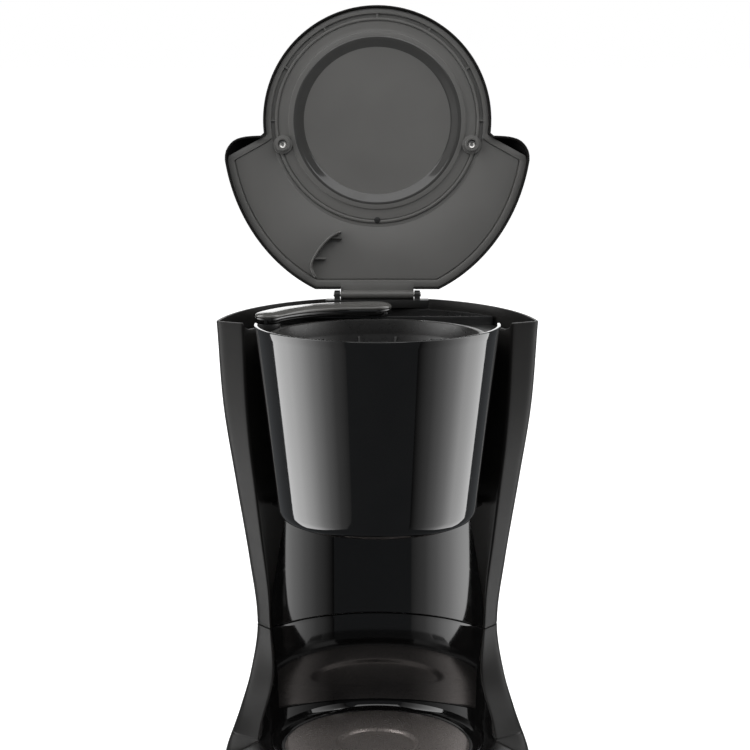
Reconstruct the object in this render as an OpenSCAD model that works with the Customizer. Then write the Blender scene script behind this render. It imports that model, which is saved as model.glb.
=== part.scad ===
// Drip coffee maker: hourglass housing, fixed filter drum, lift-out basket, water arm and hinged lid.
// The brew axis is x = 0, y = brew_y. The table is z = 0.

/* [Body] */
// Height of the housing rim at the back
rim_back_z = 318.2; // [316:0.1:320]
// Height of the housing rim at the tower fronts
rim_front_z = 316; // [315:0.1:317]
// Height of the seam between the upper housing and the base
seam_z = 104.5; // [100:0.5:110]
// Wall thickness of the mouldings
wall = 2.4; // [2:0.1:3]
// Height of the deck around the hotplate
deck_z = 41; // [40:0.5:43]
// Underside of the base moulding
base_z = 3; // [2:0.5:4]

/* [Filter] */
// Outer radius of the drum at its rim
drum_r = 78.5; // [76:0.5:79]
// Height of the drum rim
drum_rim_z = 318; // [316:0.5:318]
// Outer radius of the drum at its foot
drum_foot_r = 64.2; // [60:0.1:66]
// Height of the drum's flat underside
drum_foot_z = 191; // [188:0.5:194]
// Radius of the basket's rim
basket_r = 69.5; // [66:0.5:70]
// Height of the basket's rim
basket_rim_z = 311; // [309:0.5:311.5]

/* [Lid] */
// Hinge axis, distance behind the brew axis
hinge_y = 121.6; // [121:0.1:122]
// Hinge axis, height
hinge_z = 320.7; // [320.5:0.1:321]
// Opening angle from closed
open_deg = 98; // [90:1:100]
// Radius of the round front of the lid
lid_r = 79.8; // [79:0.1:81]

/* [Hotplate] */
// Radius of the hotplate
plate_r = 60.9; // [58:0.1:61]
// Height of the hotplate's rim
plate_z = 37.8; // [37:0.1:38.5]

/* [Water arm] */
// Pivot of the arm, left of the brew axis
arm_x = -72; // [-73:0.5:-71]
// Pivot of the arm, behind the brew axis
arm_y = 42; // [41:0.5:43]
// Angle from the parked place to the place over the basket
arm_deg = 63; // [60:0.5:64]

/* [Hidden] */

brew_y = -27;            // moves the brew axis so that the whole object is centred on y = 0
bay_r = 90;              // radius of the concave wall of the jug bay
bay_y = -18;             // centre of that wall, from the brew axis
plan_y = 6;              // centre of the elliptical back, from the brew axis
tank_y = 79;             // front face of the tank
heater_r = 40;           // half the width of the heater's U
heater_z = 32;           // height of the heater's axis
channel_z = 23;          // height of the water channel's axis
seal_r = 63.2;           // outer radius of the hotplate's seal
opening_r = 70.2;        // radius of the opening in the deck
arc_n = 18;              // steps around half of the elliptical back
deck_line_r = 78.9;      // radius of the deck line around the hotplate
bay_n = 12;              // steps across half of the bay wall
tank_n = 12;             // steps around half of the tank
floor_r = 54;            // radius of the plate in the foot of the drum
outlet_r = 13;           // radius of the hole in that plate
hose_r = 6;              // outer radius of the hoses
hose_bore = 4.7;         // inner radius of the hoses
spigot_r = 4.4;          // radius of the spigots that the hoses fit over
valve = [30, 98];        // centre of the tank's outlet
arm_end = [-2, 87];      // centre of the arm's round end, parked
arm_bend = [-52, 84];    // control point of the arm's curve
post_r = 4.5;            // radius of the socket that the arm turns in
arm_z = 312.4;           // underside of the arm
lid_a = 108.1;           // half-width of the lid's elliptical back
lid_b = 121.8;           // reach of the lid's elliptical back
lid_y = 6.4;             // centre of that ellipse, from the brew axis
lid_cut_y = 118;         // straight cut at the hinge
panel_z = 321.5;         // underside of the lid's panel
ring_r = 69.9;           // radius of the ring around the middle of the panel
boss_x = 66;             // screw bosses of the lid, to each side
boss_y = 17;             // screw bosses of the lid, behind the brew axis
barrel_x = 25.6;         // half the length of the lid's hinge barrel
lug_x = 28;              // middle of the bracket's lugs, to each side
eye_r = 2.9;             // radius of the hinge barrel and lugs
pin_r = 1.5;             // radius of the hinge pins
foot_r = 9;              // radius of the rubber feet
screw_r = 1.58;          // radius of the base screws
stem_r = 4;              // radius of the drip stop's stem
bore_r = 7.1;            // radius of the basket's outlet
rocker_r = 6.2;          // radius of the rocker's drum
switch_z = 17;           // height of the switch's middle
entry_r = 3.7;           // radius of the bore for the cord
entry_z = 19;            // height of the bore for the cord
fine = 96;

// Profiles: [height, value] pairs, joined by smooth curves.
crease_x = [[0, 104.5], [30, 100.8], [51, 93.5], [72, 87.4], [105, 82.9], [150, 87.6],
            [206, 95.6], [260, 102.5], [318, 105.4]];
crease_y = [[42, 8], [51, 22], [60, 31], [83, 44], [105, 48], [150, 44.5], [206, 38],
            [260, 29.5], [318, 22.4]];
edge_x = [[42, 77.8], [50, 76.6], [62, 72.4], [70, 70.4], [80, 69.8], [105, 72], [132, 73],
          [170, 77.1], [202, 80.3], [233, 83.3], [271, 85.4], [318, 86.3]];
edge_y = [[42, -5], [50, 6], [62, 20], [70, 26], [80, 30], [105, 33.5], [150, 30.5],
          [202, 25], [260, 17.5], [318, 12.2]];
back_b = [[0, 120.5], [105, 115], [318, 120.5]];
return_x = [[38, 67], [80, 68.4], [105, 71], [126, 71], [175, 63], [191, 60], [230, 62],
            [255, 68.8], [280, 73.5], [318, 78.5]];

// Right edge of the bay wall: [half-width, height].
bay_edge = [[70.8, seam_z - 1], [70.8, 126], [62.8, 175], [59.6, drum_foot_z + 3]];
// [height, half-width of the front, reach of the front, notch beside the towers]
base_levels = [[base_z, 101, 99, 0], [6, 103, 101, 0], [16, 103, 101, 0], [26, 101, 99.4, 0],
               [31, 99, 98, 0.25], [36, 94.5, 95.4, 0.62], [40.2, 88.5, 91.5, 1]];
tower_levels = [44, 48, 53, 58, 64, 71, 79, 88, 97, seam_z];
skin_levels = [seam_z, 112, 122, 134, 148, 162, 178, 194, 212, 232, 252, 272, 294, 318];
tank_levels = [128, 146, 166, 190, 216, 244, 274, 311.2];
// Screw bosses under the base: [x, y, top]. Feet: [x, y].
boss_places = [[60, -60, 39.4], [66, 60, 22], [-66, 60, 22], [-60, -60, 39.4]];
foot_places = [[46, -70], [-46, -70], [54, 90], [-54, 90]];
// Corner of the lid's cover, corner of its panel, and the dome's [scale, height].
ears = [[84, 11.2], [92, 11.6], [98, 13.2], [102.6, 16.6], [105.6, 21.5]];
panel_wing = [[83, 11.3], [105.4, 23.6]];
dome_levels = [[1, 322.6], [0.985, 325.4], [0.955, 327.9], [0.9, 330], [0.8, 331.6],
               [0.62, 332.7], [0.3, 333.3]];
// Blade on the lid's panel.
fin_path = [[-25.7, 77.6], [-33, 82], [-39.4, 88.6], [-44.4, 96.4], [-46.2, 102.6], [-43.4, 109.6]];

function clamp(v, lo, hi) = min(max(v, lo), hi);
function seg(k, z, i = 0) = i >= len(k) - 2 || z <= k[i + 1][0] ? i : seg(k, z, i + 1);
function slope(k, i) =
    let (a = max(i - 1, 0), b = min(i + 1, len(k) - 1))
    (k[b][1] - k[a][1]) / (k[b][0] - k[a][0]);
function curve(k, z) =
    let (
        i = seg(k, z), h = k[i + 1][0] - k[i][0], t = clamp((z - k[i][0]) / h, 0, 1),
        m0 = slope(k, i) * h, m1 = slope(k, i + 1) * h
    )
    (2 * t^3 - 3 * t^2 + 1) * k[i][1] + (t^3 - 2 * t^2 + t) * m0
    + (3 * t^2 - 2 * t^3) * k[i + 1][1] + (t^3 - t^2) * m1;
function rim_z(y) =
    rim_front_z + (rim_back_z - rim_front_z) * clamp((y - 22.6) / 103.9, 0, 1);

// Right half of the elliptical back at height z, from the crease c to the centre line.
function back_arc(z, c) =
    let (
        b = curve(back_b, z), a = c[0] / sqrt(1 - ((c[1] - plan_y) / b)^2), u0 = asin((c[1] - plan_y) / b)
    )
    [for (i = [0:arc_n]) let (u = u0 + (90 - u0) * i / arc_n) [a * cos(u), plan_y + b * sin(u)]];
function bay_point(x, r = bay_r) = [x, bay_y + sqrt(r^2 - x^2)];

// Moves every point of a closed loop (anticlockwise) inwards by t.
function unit(v) = v / max(norm(v), 1e-9);
function inset(loop, t) =
    let (n = len(loop))
    [for (i = [0:n - 1])
        let (
            d0 = unit(loop[i] - loop[(i + n - 1) % n]), d1 = unit(loop[(i + 1) % n] - loop[i]),
            n0 = [-d0[1], d0[0]], n1 = [-d1[1], d1[0]], m = unit(n0 + n1)
        )
        loop[i] + m * t / max(m * n0, 0.45)];

// Closed surface from a grid of rows that closes both ways, such as a tube with open ends.
module ring_skin(rows) {
    n = len(rows[0]);
    k = len(rows);
    faces = [for (j = [0:k - 1], i = [0:n - 1])
        let (
            a = j * n + i, b = j * n + (i + 1) % n,
            c = ((j + 1) % k) * n + (i + 1) % n, d = ((j + 1) % k) * n + i
        )
        each [[a, b, c], [a, c, d]]];
    polyhedron(points = [for (r = rows) each r], faces = [for (f = faces) [f[2], f[1], f[0]]]);
}

// Closed surface from stacked loops, each end closed by a strip that joins opposite points.
module strip_skin(rows) {
    n = len(rows[0]);
    k = len(rows);
    h = n / 2;
    side = [for (j = [0:k - 2], i = [0:n - 1])
        let (a = j * n + i, b = j * n + (i + 1) % n, c = a + n, d = b + n)
        each [[a, d, b], [a, c, d]]];
    foot = [for (i = [0:h - 2]) each [[i, i + 1, n - 2 - i], [i, n - 2 - i, n - 1 - i]]];
    top = [for (f = foot) [f[2], f[1], f[0]] + [1, 1, 1] * (k - 1) * n];
    polyhedron(points = [for (r = rows) each r], faces = concat(side, foot, top));
}

// Rings of points around a route, turned as little as possible from one to the next.
function frame_at(route, i) =
    let (
        n = len(route), t = unit(route[min(i + 1, n - 1)] - route[max(i - 1, 0)]),
        u = unit(cross([1, 0.2, 0], t))
    )
    [u, cross(t, u)];
function rings(route, r, sides) = [for (i = [0:len(route) - 1]) let (f = frame_at(route, i))
    [for (s = [0:sides - 1]) let (a = 360 * s / sides) route[i] + r * (cos(a) * f[0] + sin(a) * f[1])]];

// Hose along a route, open at both ends.
module hose(route, r, bore, sides = 12) {
    inner = rings(route, bore, sides);
    ring_skin(concat(rings(route, r, sides), [for (i = [len(inner) - 1:-1:0]) inner[i]]));
}

// Round wire along a route, closed at both ends.
module sweep(route, r, sides = 10) {
    n = len(route);
    frames = rings(route, r, sides);
    side = [for (j = [0:n - 2], i = [0:sides - 1])
        let (a = j * sides + i, b = j * sides + (i + 1) % sides)
        each [[a, b + sides, b], [a, a + sides, b + sides]]];
    foot = [for (i = [1:sides - 2]) [0, i, i + 1]];
    top = [for (i = [1:sides - 2]) [0, i + 1, i] + [1, 1, 1] * (n - 1) * sides];
    polyhedron(points = [for (f = frames) each f], faces = concat(side, foot, top));
}

// Smooth route through control points.
function spline(p, steps = 4) =
    let (n = len(p))
    concat([for (i = [0:n - 2], s = [0:steps - 1])
        let (
            t = s / steps, a = p[max(i - 1, 0)], b = p[i], c = p[i + 1], d = p[min(i + 2, n - 1)]
        )
        0.5 * (2 * b + (c - a) * t + (2 * a - 5 * b + 4 * c - d) * t^2
               + (3 * b - a - 3 * c + d) * t^3)],
        [p[n - 1]]);

module at_brew() translate([0, brew_y, 0]) children();
module revolve(points) rotate_extrude($fn = fine) polygon(points);
module rod(r, z0, z1, x = 0, y = 0) translate([x, y, z0]) cylinder(r = r, h = z1 - z0, $fn = 48);
module block(x0, x1, y0, y1, z0, z1) translate([x0, y0, z0]) cube([x1 - x0, y1 - y0, z1 - z0]);

// ---------- Housing ----------

// Path of the upper skin: end of the right return, front edge, crease, round the back, to the left.
function skin_path(z, t) =
    let (
        e = bay_point(curve(return_x, z)), f = [curve(edge_x, z), curve(edge_y, z)],
        c = [curve(crease_x, z), curve(crease_y, z)],
        half = concat([e, (e + f) / 2, f, (f + c) / 2], back_arc(z, c))
    )
    concat(half, [for (i = [len(half) - 2:-1:0]) [-half[i][0], half[i][1]]]);
function open_inset(path, t) =
    let (n = len(path))
    [for (i = [0:n - 1])
        let (
            d0 = unit(path[max(i, 1)] - path[max(i, 1) - 1]),
            d1 = unit(path[min(i, n - 2) + 1] - path[min(i, n - 2)]),
            n0 = [-d0[1], d0[0]], n1 = [-d1[1], d1[0]], m = unit(n0 + n1)
        )
        path[i] + m * t / max(m * n0, 0.45)];
function skin_z(p, i, n, z) =
    z < 300 ? z : (i < 2 || i > n - 3) ? 311 : rim_z(p[1]);
function skin_loop(z) =
    let (a = skin_path(z), b = open_inset(a, wall), n = len(a))
    concat(
        [for (i = [0:n - 1]) [a[i][0], a[i][1], skin_z(a[i], i, n, z)]],
        [for (i = [n - 1:-1:0]) [b[i][0], b[i][1], skin_z(a[i], i, n, z)]]);

module upper_housing() color("#2b2b2a") at_brew() difference() {
    strip_skin([for (z = skin_levels) skin_loop(z)]);
    block(-36.2, 36.2, 116.8, 130, 311.8, 330);
}

module bay_panel() color("#1a1a1a") at_brew() {
    // concave wall behind the jug
    intersection() {
        translate([0, bay_y, seam_z]) difference() {
            cylinder(r = bay_r + wall, h = drum_foot_z - seam_z + 2, $fn = 180);
            translate([0, 0, -1]) cylinder(r = bay_r, h = 200, $fn = 180);
        }
        translate([0, 100, 0]) rotate([90, 0, 0]) linear_extrude(80)
            polygon(concat(bay_edge, [for (i = [3:-1:0]) flip(bay_edge[i])]));
    }
    // ceiling around the foot of the drum
    difference() {
        translate([0, 0, drum_foot_z]) linear_extrude(2)
            polygon([[58.4, 50], [70, 33], [62, 18], [-62, 18], [-70, 33], [-58.4, 50],
                     [-30, 70], [0, 73.5], [30, 70]]);
        rod(drum_foot_r + 1.6, drum_foot_z - 1, drum_foot_z + 4);
    }
}

// ---------- Filter drum, basket and drip stop ----------

module filter_housing() color("#161616") at_brew() {
    difference() {
        union() {
            revolve([[floor_r + 0.2, drum_foot_z], [drum_foot_r - 8, drum_foot_z],
                     [drum_foot_r - 3, drum_foot_z + 1.6], [drum_foot_r - 0.6, drum_foot_z + 4.6],
                     [drum_foot_r, drum_foot_z + 8], [drum_r, drum_rim_z], [drum_r - wall, drum_rim_z],
                     [drum_foot_r - wall, drum_foot_z + 9], [drum_foot_r - 6, drum_foot_z + wall + 1],
                     [floor_r + 0.2, drum_foot_z + wall]]);
            // deck that joins the drum to the towers
            translate([0, 0, 303]) linear_extrude(2.5) difference() {
                polygon([[72, 34], [77, 42], [92, 50], [80, 76], [75, 78.4], [-75, 78.4], [-80, 76],
                         [-92, 50], [-77, 42], [-72, 34]]);
                circle(r = drum_r - 3.4, $fn = fine);
            }
        }
        // the rim is low behind the towers' front edges
        block(-90, 90, 8, 90, 306.5, 330);
        // riser passes through the deck
        rod(5.6, 300, 310, arm_x, arm_y);
    }
}

// Round plate in the foot of the drum, open in the middle for the drip stop.
module drum_floor() color("#161616") at_brew()
    revolve([[outlet_r, drum_foot_z], [floor_r, drum_foot_z], [floor_r, drum_foot_z + wall],
             [outlet_r, drum_foot_z + wall]]);

module filter_basket() color("#2a2a2a") at_brew() difference() {
    union() {
        revolve([[bore_r, 212], [44, 212], [66, 301], [67, 308.6], [basket_r, 308.6],
                 [basket_r, basket_rim_z], [65.4, basket_rim_z], [64.2, 301.4], [42.6, 214], [bore_r, 214]]);
        // outlet boss
        difference() {
            rod(11, 203, 213);
            rod(bore_r, 200, 215);
        }
        // ribs that keep the filter paper off the wall
        for (i = [0:15])
            rotate(i * 22.5 + 11.25) rotate_rib();
        // feet ring on the drum floor
        revolve([[38, 193.7], [40, 193.7], [40, 213], [38, 213]]);
    }
    for (i = [0:3]) rotate(i * 90) block(30, 45, -5, 5, 192, 204);
}
module rotate_rib() rotate([90, 0, 0]) translate([0, 0, -0.7]) linear_extrude(1.4)
    polygon([[42.9, 213.5], [64.3, 299], [62.6, 299], [40.4, 213.5]]);

module drip_stop_plunger() color("#3a3a3a") at_brew() {
    rod(stem_r, 190, 214.6);
    rod(9.6, 214.6, 216.4);
    rod(9, 186, 190.2);
    for (a = [0, 90]) rotate(a) block(-6.97, 6.97, -0.9, 0.9, 196, 214.7);
}
module drip_stop_seal() color("#c9c4ba") at_brew() difference() {
    rod(9.4, 214.05, 214.6);
    rod(7.05, 213, 216);
}
module drip_stop_spring() color("silver") at_brew()
    sweep([for (i = [0:64]) [7.9 * cos(i * 22.5), 7.9 * sin(i * 22.5), 190.9 + 11.4 * i / 64]], 0.55, 6);

// ---------- Base ----------

// Loop of the tower section with the bay wall in front: right edge, crease, back, left edge, bay.
function tower_loop(z, t) =
    let (
        f = [curve(edge_x, z), curve(edge_y, z)], c = [curve(crease_x, z), curve(crease_y, z)],
        e = curve(return_x, z),
        front = [for (i = [0:bay_n]) bay_point(e * cos(90 * i / bay_n))]
    )
    section(concat([f, (f + c) / 2], back_arc(z, c)), front, t);
// The same number of points, with the front carried out to the edge of the base. The notch runs
// from 0, a plain oval, to 1, where the front begins beside the foot of each tower.
function base_loop(z, t, side, reach, notch) =
    let (
        c = [curve(crease_x, z), lerp(2, curve(crease_y, 42), notch)],
        f = [lerp(curve(crease_x, z) - 0.4, 78.6, notch), lerp(-8, -5, notch)],
        front = [for (i = [0:bay_n])
            let (u = 8 + 82 * i / bay_n) [side * cos(u)^0.94, -10 - (reach - 10) * sin(u)]]
    )
    section(concat([f, (f + c) / 2], back_arc(z, c)), front, t);
// The deck line just outside the hotplate's opening, between the two kinds of loop.
function deck_loop(t) =
    let (
        f = [curve(edge_x, 42), curve(edge_y, 42)], c = [curve(crease_x, 42), curve(crease_y, 42)],
        front = [for (i = [0:bay_n]) let (u = 6 + 84 * i / bay_n) deck_line_r * [cos(u), -sin(u)]]
    )
    section(concat([f, (f + c) / 2], back_arc(42, c)), front, t);
function section(half, front, t) = inset(concat(
    half, [for (i = [len(half) - 2:-1:0]) flip(half[i])],
    [for (i = [0:bay_n - 1]) flip(front[i])], [for (i = [bay_n:-1:0]) front[i]]), t);
function flip(p) = [-p[0], p[1]];
function lerp(a, b, t) = a + (b - a) * t;
function lift(loop, z) = [for (p = loop) [p[0], p[1], z]];

module base_housing() color("#2b2b2a") at_brew() difference() {
    union() {
        ring_skin(concat(
            [for (l = base_levels) lift(base_loop(l[0], 0, l[1], l[2], l[3]), l[0])],
            [lift(deck_loop(0), deck_z - 0.3)],
            [for (z = concat([deck_z], tower_levels)) lift(tower_loop(max(z, 42), 0), z)],
            [for (i = [len(tower_levels) - 1:-1:0]) let (z = tower_levels[i]) lift(tower_loop(z, wall), z)],
            [lift(tower_loop(42, wall), deck_z - wall)],
            [lift(deck_loop(wall), deck_z - wall - 0.3)],
            [for (i = [len(base_levels) - 1:-1:0]) let (l = base_levels[i])
                lift(base_loop(l[0], wall, l[1], l[2], l[3]), l[0] - (i > 4 ? wall : i > 2 ? 1.5 : 0))]));
        for (p = boss_places) rod(4, 5.9, p[2], p[0], p[1]);
        // ribs that tie the rear bosses to the wall
        block(66, 90.5, 59.2, 60.8, 8, 22);
        block(-90.5, -66, 59.2, 60.8, 8, 22);
    }
    for (p = boss_places) rod(screw_r + 0.02, 5, 20, p[0], p[1]);
    // opening for the hotplate and its surround
    rod(opening_r, 36, 44);
    // switch in the front, cord at the back
    block(-20.2, 20.2, -110, -90, 8.4, 25.6);
    translate([0, 100, entry_z]) rotate([-90, 0, 0]) cylinder(r = 7.1, h = 40, $fn = 48);
}
module base_plate() color("#1d1d1d") at_brew() difference() {
    translate([0, 0, 3.4]) linear_extrude(2.4) polygon(base_loop(base_z, wall + 0.5, 101, 99, 0));
    for (p = foot_places) rod(2.6, 3, 6, p[0], p[1]);
    for (p = boss_places) rod(1.8, 3, 6, p[0], p[1]);
    for (i = [-4:4]) block(i * 9 - 2, i * 9 + 2, -20, 20, 3, 6);
}
module rubber_feet() color("#101010") at_brew() for (p = foot_places) {
    rod(foot_r, 0, 3.4, p[0], p[1]);
    rod(2.5, 3, 6.4, p[0], p[1]);
}
module base_screws() color("silver") at_brew() for (p = boss_places) {
    rod(3.2, 1.6, 3.4, p[0], p[1]);
    rod(screw_r, 3, 18, p[0], p[1]);
}

// ---------- Hotplate and heater ----------

// Ring that lines the opening: flange under the deck, low lip above it, floor around the seal.
module hotplate_surround() color("#202020") at_brew()
    revolve([[seal_r, 34], [seal_r + 3, 34], [seal_r + 4.4, 36.4], [opening_r + 2.4, 36.4],
             [opening_r + 2.4, 38.2], [opening_r - 0.2, 38.2], [opening_r - 0.2, 41.4],
             [opening_r - 1.2, 41.4], [seal_r + 3, 37], [seal_r, 36.2]]);
module hotplate() color("#8d8382") at_brew()
    revolve([[0, 33.9], [23.8, 33.9], [25.9, 36.2], [59.4, 36.2], [59.4, 33.4], [plate_r, 33.4],
             [plate_r, plate_z - 1.2], [plate_r - 1.2, plate_z], [26.6, plate_z], [24.4, 35.5], [0, 35.5]]);
module hotplate_seal() color("#151515") at_brew()
    revolve([[plate_r, 33], [seal_r, 33], [seal_r, 36.1], [seal_r - 0.8, 36.8], [plate_r, 36.3]]);

// U-shaped tube under the hotplate, open at its ends.
module u_tube(r, bore, z, legs) translate([0, 0, z]) {
    rotate([0, 0, 180]) rotate_extrude(angle = 180, $fn = fine) translate([heater_r, 0]) ring_2d(r, bore);
    for (s = [-1, 1]) translate([s * heater_r, 0, 0]) rotate([-90, 0, 0])
        linear_extrude(legs) ring_2d(r, bore);
}
module ring_2d(r, bore) difference() {
    circle(r = r, $fn = 48);
    circle(r = bore, $fn = 48);
}
module heating_element() color("#77736c") at_brew() {
    u_tube(3.6, 1.2, heater_z, 34);
    for (s = [-1, 1]) translate([s * heater_r, 33, heater_z]) rotate([-90, 0, 0])
        cylinder(r = 1.2, h = 8, $fn = 24);
}
module water_channel() color("#b8b8b4") at_brew() u_tube(4.4, 3.4, channel_z, 57);
module element_clamp() color("#a9a9a6") at_brew() for (s = [-1, 1]) difference() {
    block(s * heater_r - 5.4, s * heater_r + 5.4, 8, 18, channel_z - 6, 36.1);
    translate([s * heater_r, 0, heater_z]) rotate([-90, 0, 0]) cylinder(r = 3.7, h = 40, $fn = 48);
    translate([s * heater_r, 0, channel_z]) rotate([-90, 0, 0]) cylinder(r = 4.5, h = 40, $fn = 48);
}
module thermostat() color("#c8c2b4") at_brew() {
    rod(8.4, 27, 33.8);
    rod(11, 31.6, 33);
    for (s = [-1, 1]) block(s * 4 - 1.6, s * 4 + 1.6, -0.5, 0.5, 20, 27.5);
}
module thermal_fuse() color("#d8d6cf") at_brew() translate([-11, 26, 32.6]) rotate([0, 90, 0]) {
    cylinder(r = 2.2, h = 22, $fn = 32);
    translate([0, 0, -12]) cylinder(r = 0.6, h = 46, $fn = 20);
}

// ---------- Water path ----------

function tank_loop(z, t, front_y) =
    let (
        b = curve(back_b, z), c = [curve(crease_x, z), curve(crease_y, z)],
        a = c[0] / sqrt(1 - ((c[1] - plan_y) / b)^2), u0 = asin((front_y + 2 - plan_y) / (b - t)),
        arc = [for (i = [0:2 * tank_n]) let (u = u0 + (180 - 2 * u0) * i / (2 * tank_n))
            [(a - t) * cos(u), plan_y + (b - t) * sin(u)]]
    )
    concat(arc, [for (i = [2 * tank_n:-1:0]) [arc[i][0] * 0.985, front_y]]);
module water_tank() color([0.25, 0.25, 0.26, 0.8]) at_brew() difference() {
    union() {
        strip_skin(concat(
            [for (z = tank_levels) lift(tank_loop(z, wall + 0.8, tank_y), z)],
            [for (i = [len(tank_levels) - 1:-1:0]) let (z = tank_levels[i])
                lift(tank_loop(z, wall + 2.8, tank_y + 2), i == 0 ? z + 2 : z)]));
        rod(8, 120, 129, valve[0], valve[1]);
    }
    rod(5, 119, 131, valve[0], valve[1]);
}
module tank_strainer() color("#dddddd") at_brew() translate([valve[0], valve[1], 130]) difference() {
    cylinder(r = 7.4, h = 7, $fn = 48);
    translate([0, 0, -1]) cylinder(r = 6.2, h = 7, $fn = 48);
    for (a = [0:30:150]) rotate(a) translate([-10, -0.6, 1]) cube([20, 1.2, 4.4]);
}
module check_valve_body() color("#e6e4de") at_brew() translate([valve[0], valve[1], 0]) difference() {
    union() {
        rod(7.4, 104, 120);
        rod(4.9, 120, 127);
        rod(spigot_r, 94, 104);
    }
    rod(2.2, 90, 130);
    rod(4.7, 107, 118);
}
module check_valve_ball() color("#c0522a") at_brew() translate([valve[0], valve[1], 107 + 2.95])
    sphere(r = 3.6, $fn = 48);
module inlet_hose() color("#b9b4a6") at_brew() hose(spline([
    [30, 98, 104], [30, 98, 96], [30, 97.6, 84], [31.5, 94, 60], [36, 85, 37], [40, 74, 26],
    [40, 66, channel_z], [40, 60, channel_z], [40, 49, channel_z]]), hose_r, hose_bore);
module riser_hose() color("#b9b4a6") at_brew() hose(spline([
    [-40, 49, channel_z], [-40, 60, channel_z], [-40, 66, channel_z + 0.2], [-42, 72, 29],
    [-50, 75, 44], [-60, 72, 70], [-61, 71, 104], [-61, 71, 150], [-68, 62, 200], [-75, 53, 240],
    [-73, 46.5, 262], [arm_x, 42.5, 274], [arm_x, arm_y, 282], [arm_x, arm_y, 291],
    [arm_x, arm_y, 300]], 3), hose_r, hose_bore);
module clip(h) difference() {
    cylinder(r = hose_r + 1.2, h = h, $fn = 32);
    translate([0, 0, -1]) cylinder(r = hose_r + 0.06, h = h + 2, $fn = 32);
}
module hose_clips() color("silver") at_brew() {
    translate([30, 98, 97]) clip(5);
    translate([arm_x, arm_y, 292]) clip(5);
    for (s = [-1, 1]) translate([s * heater_r, 51, channel_z]) rotate([-90, 0, 0]) clip(4);
}

// ---------- Water arm ----------

function arm_mid(t) = (1 - t)^2 * [arm_x, arm_y] + 2 * t * (1 - t) * arm_bend + t^2 * arm_end;
function arm_way(t) = unit(2 * (1 - t) * (arm_bend - [arm_x, arm_y]) + 2 * t * (arm_end - arm_bend));
function arm_half(t) = lerp(8.6, 11.8, t^0.8);
function arm_outline(t) = let (n = 14) concat(
    [for (i = [0:n]) let (w = arm_way(i / n)) arm_mid(i / n) + (arm_half(i / n) - t) * [w[1], -w[0]]],
    [for (i = [1:7]) let (w = arm_way(1), u = i * 22.5)
        arm_end + (arm_half(1) - t) * (sin(u) * w + cos(u) * [w[1], -w[0]])],
    [for (i = [n:-1:0]) let (w = arm_way(i / n)) arm_mid(i / n) - (arm_half(i / n) - t) * [w[1], -w[0]]],
    [for (i = [1:7]) let (w = arm_way(0), u = i * 22.5)
        [arm_x, arm_y] - (arm_half(0) - t) * (sin(u) * w + cos(u) * [w[1], -w[0]])]);
module arm_post() color("#1c1c1c") at_brew() difference() {
    union() {
        rod(8, 306.6, 312.1, arm_x, arm_y);
        rod(5.5, 300, 307, arm_x, arm_y);
        rod(spigot_r, 289, 301, arm_x, arm_y);
    }
    rod(post_r, 306.3, 313, arm_x, arm_y);
    rod(3, 288, 307, arm_x, arm_y);
}
module spray_arm() color("#1c1c1c") at_brew() difference() {
    union() {
        translate([0, 0, arm_z]) linear_extrude(3.8) polygon(arm_outline(0));
        rod(post_r - 0.06, 306.6, 313, arm_x, arm_y);
    }
    translate([0, 0, arm_z + 1.2]) linear_extrude(4) polygon(arm_outline(1.6));
    rod(3, 300, 320, arm_x, arm_y);
    rod(9, 310, 314, arm_end[0], arm_end[1]);
}
module spray_arm_cover() color("#5a5956") at_brew() difference() {
    union() {
        translate([0, 0, arm_z + 3.8]) linear_extrude(1.6) polygon(arm_outline(0));
        translate([0, 0, arm_z + 5.4]) linear_extrude(1) polygon(arm_outline(1.2));
        translate([0, 0, arm_z + 6.4]) linear_extrude(0.8) polygon(arm_outline(3));
    }
    translate([0, 0, arm_z + 3.6]) linear_extrude(1.6) polygon(arm_outline(3.2));
}
module spray_nozzle() color("#1c1c1c") at_brew() translate([arm_end[0], arm_end[1], 0]) difference() {
    union() {
        rod(8.9, 311.6, 314);
        rod(9.8, 313.6, 315);
    }
    for (a = [0:60:300]) rotate(a) rod(0.8, 310, 316, 5.4);
    rod(0.8, 310, 316);
}

// ---------- Lid ----------

module at_lid() translate([0, brew_y + hinge_y, hinge_z]) rotate([-open_deg, 0, 0])
    translate([0, -hinge_y, -hinge_z]) children();
// Outline of the closed lid: round front, wings, elliptical back, cut straight at the hinge.
lid_front = [for (i = [0:20]) let (u = lerp(-88, 6.4, i / 20)) lid_r * [cos(u), sin(u)]];
lid_back = let (u0 = asin((28 - lid_y) / lid_b), u1 = asin((lid_cut_y - lid_y) / lid_b))
    [for (i = [0:16]) let (u = lerp(u0, u1, i / 16)) [lid_a * cos(u), lid_y + lid_b * sin(u)]];
function both_sides(half) = concat(half, [for (i = [len(half) - 1:-1:0]) flip(half[i])]);
function lid_loop(wing, t) = inset(both_sides(concat(lid_front, wing, lid_back)), t);
field_loop = inset(both_sides(concat(
    lid_front, [[83, 11.3], [105.6, 24.2]], [for (i = [1:16]) lid_back[i]])), 6.2);
function dome(s, z) = [for (p = lid_loop(ears, 0)) [p[0] * s, lerp(30, p[1], s), z]];
function skirt(t) = [for (p = lid_loop(ears, t))
    [p[0], p[1], (p[1] < 10 ? drum_rim_z : rim_z(p[1])) + 0.4]];
module lid_cover() color("#262626") at_lid() difference() {
    strip_skin(concat(
        [for (i = [len(dome_levels) - 1:-1:2]) dome(dome_levels[i][0] - 0.014, dome_levels[i][1] - 1.8)],
        [lift(lid_loop(ears, 1.5), 323.8), skirt(1.5), skirt(0)],
        [for (l = dome_levels) dome(l[0], l[1])]));
    // way out for the panel's hinge barrel
    block(-barrel_x - 0.4, barrel_x + 0.4, lid_cut_y - 3.4, lid_cut_y + 2, 316, 323.65);
}

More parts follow.
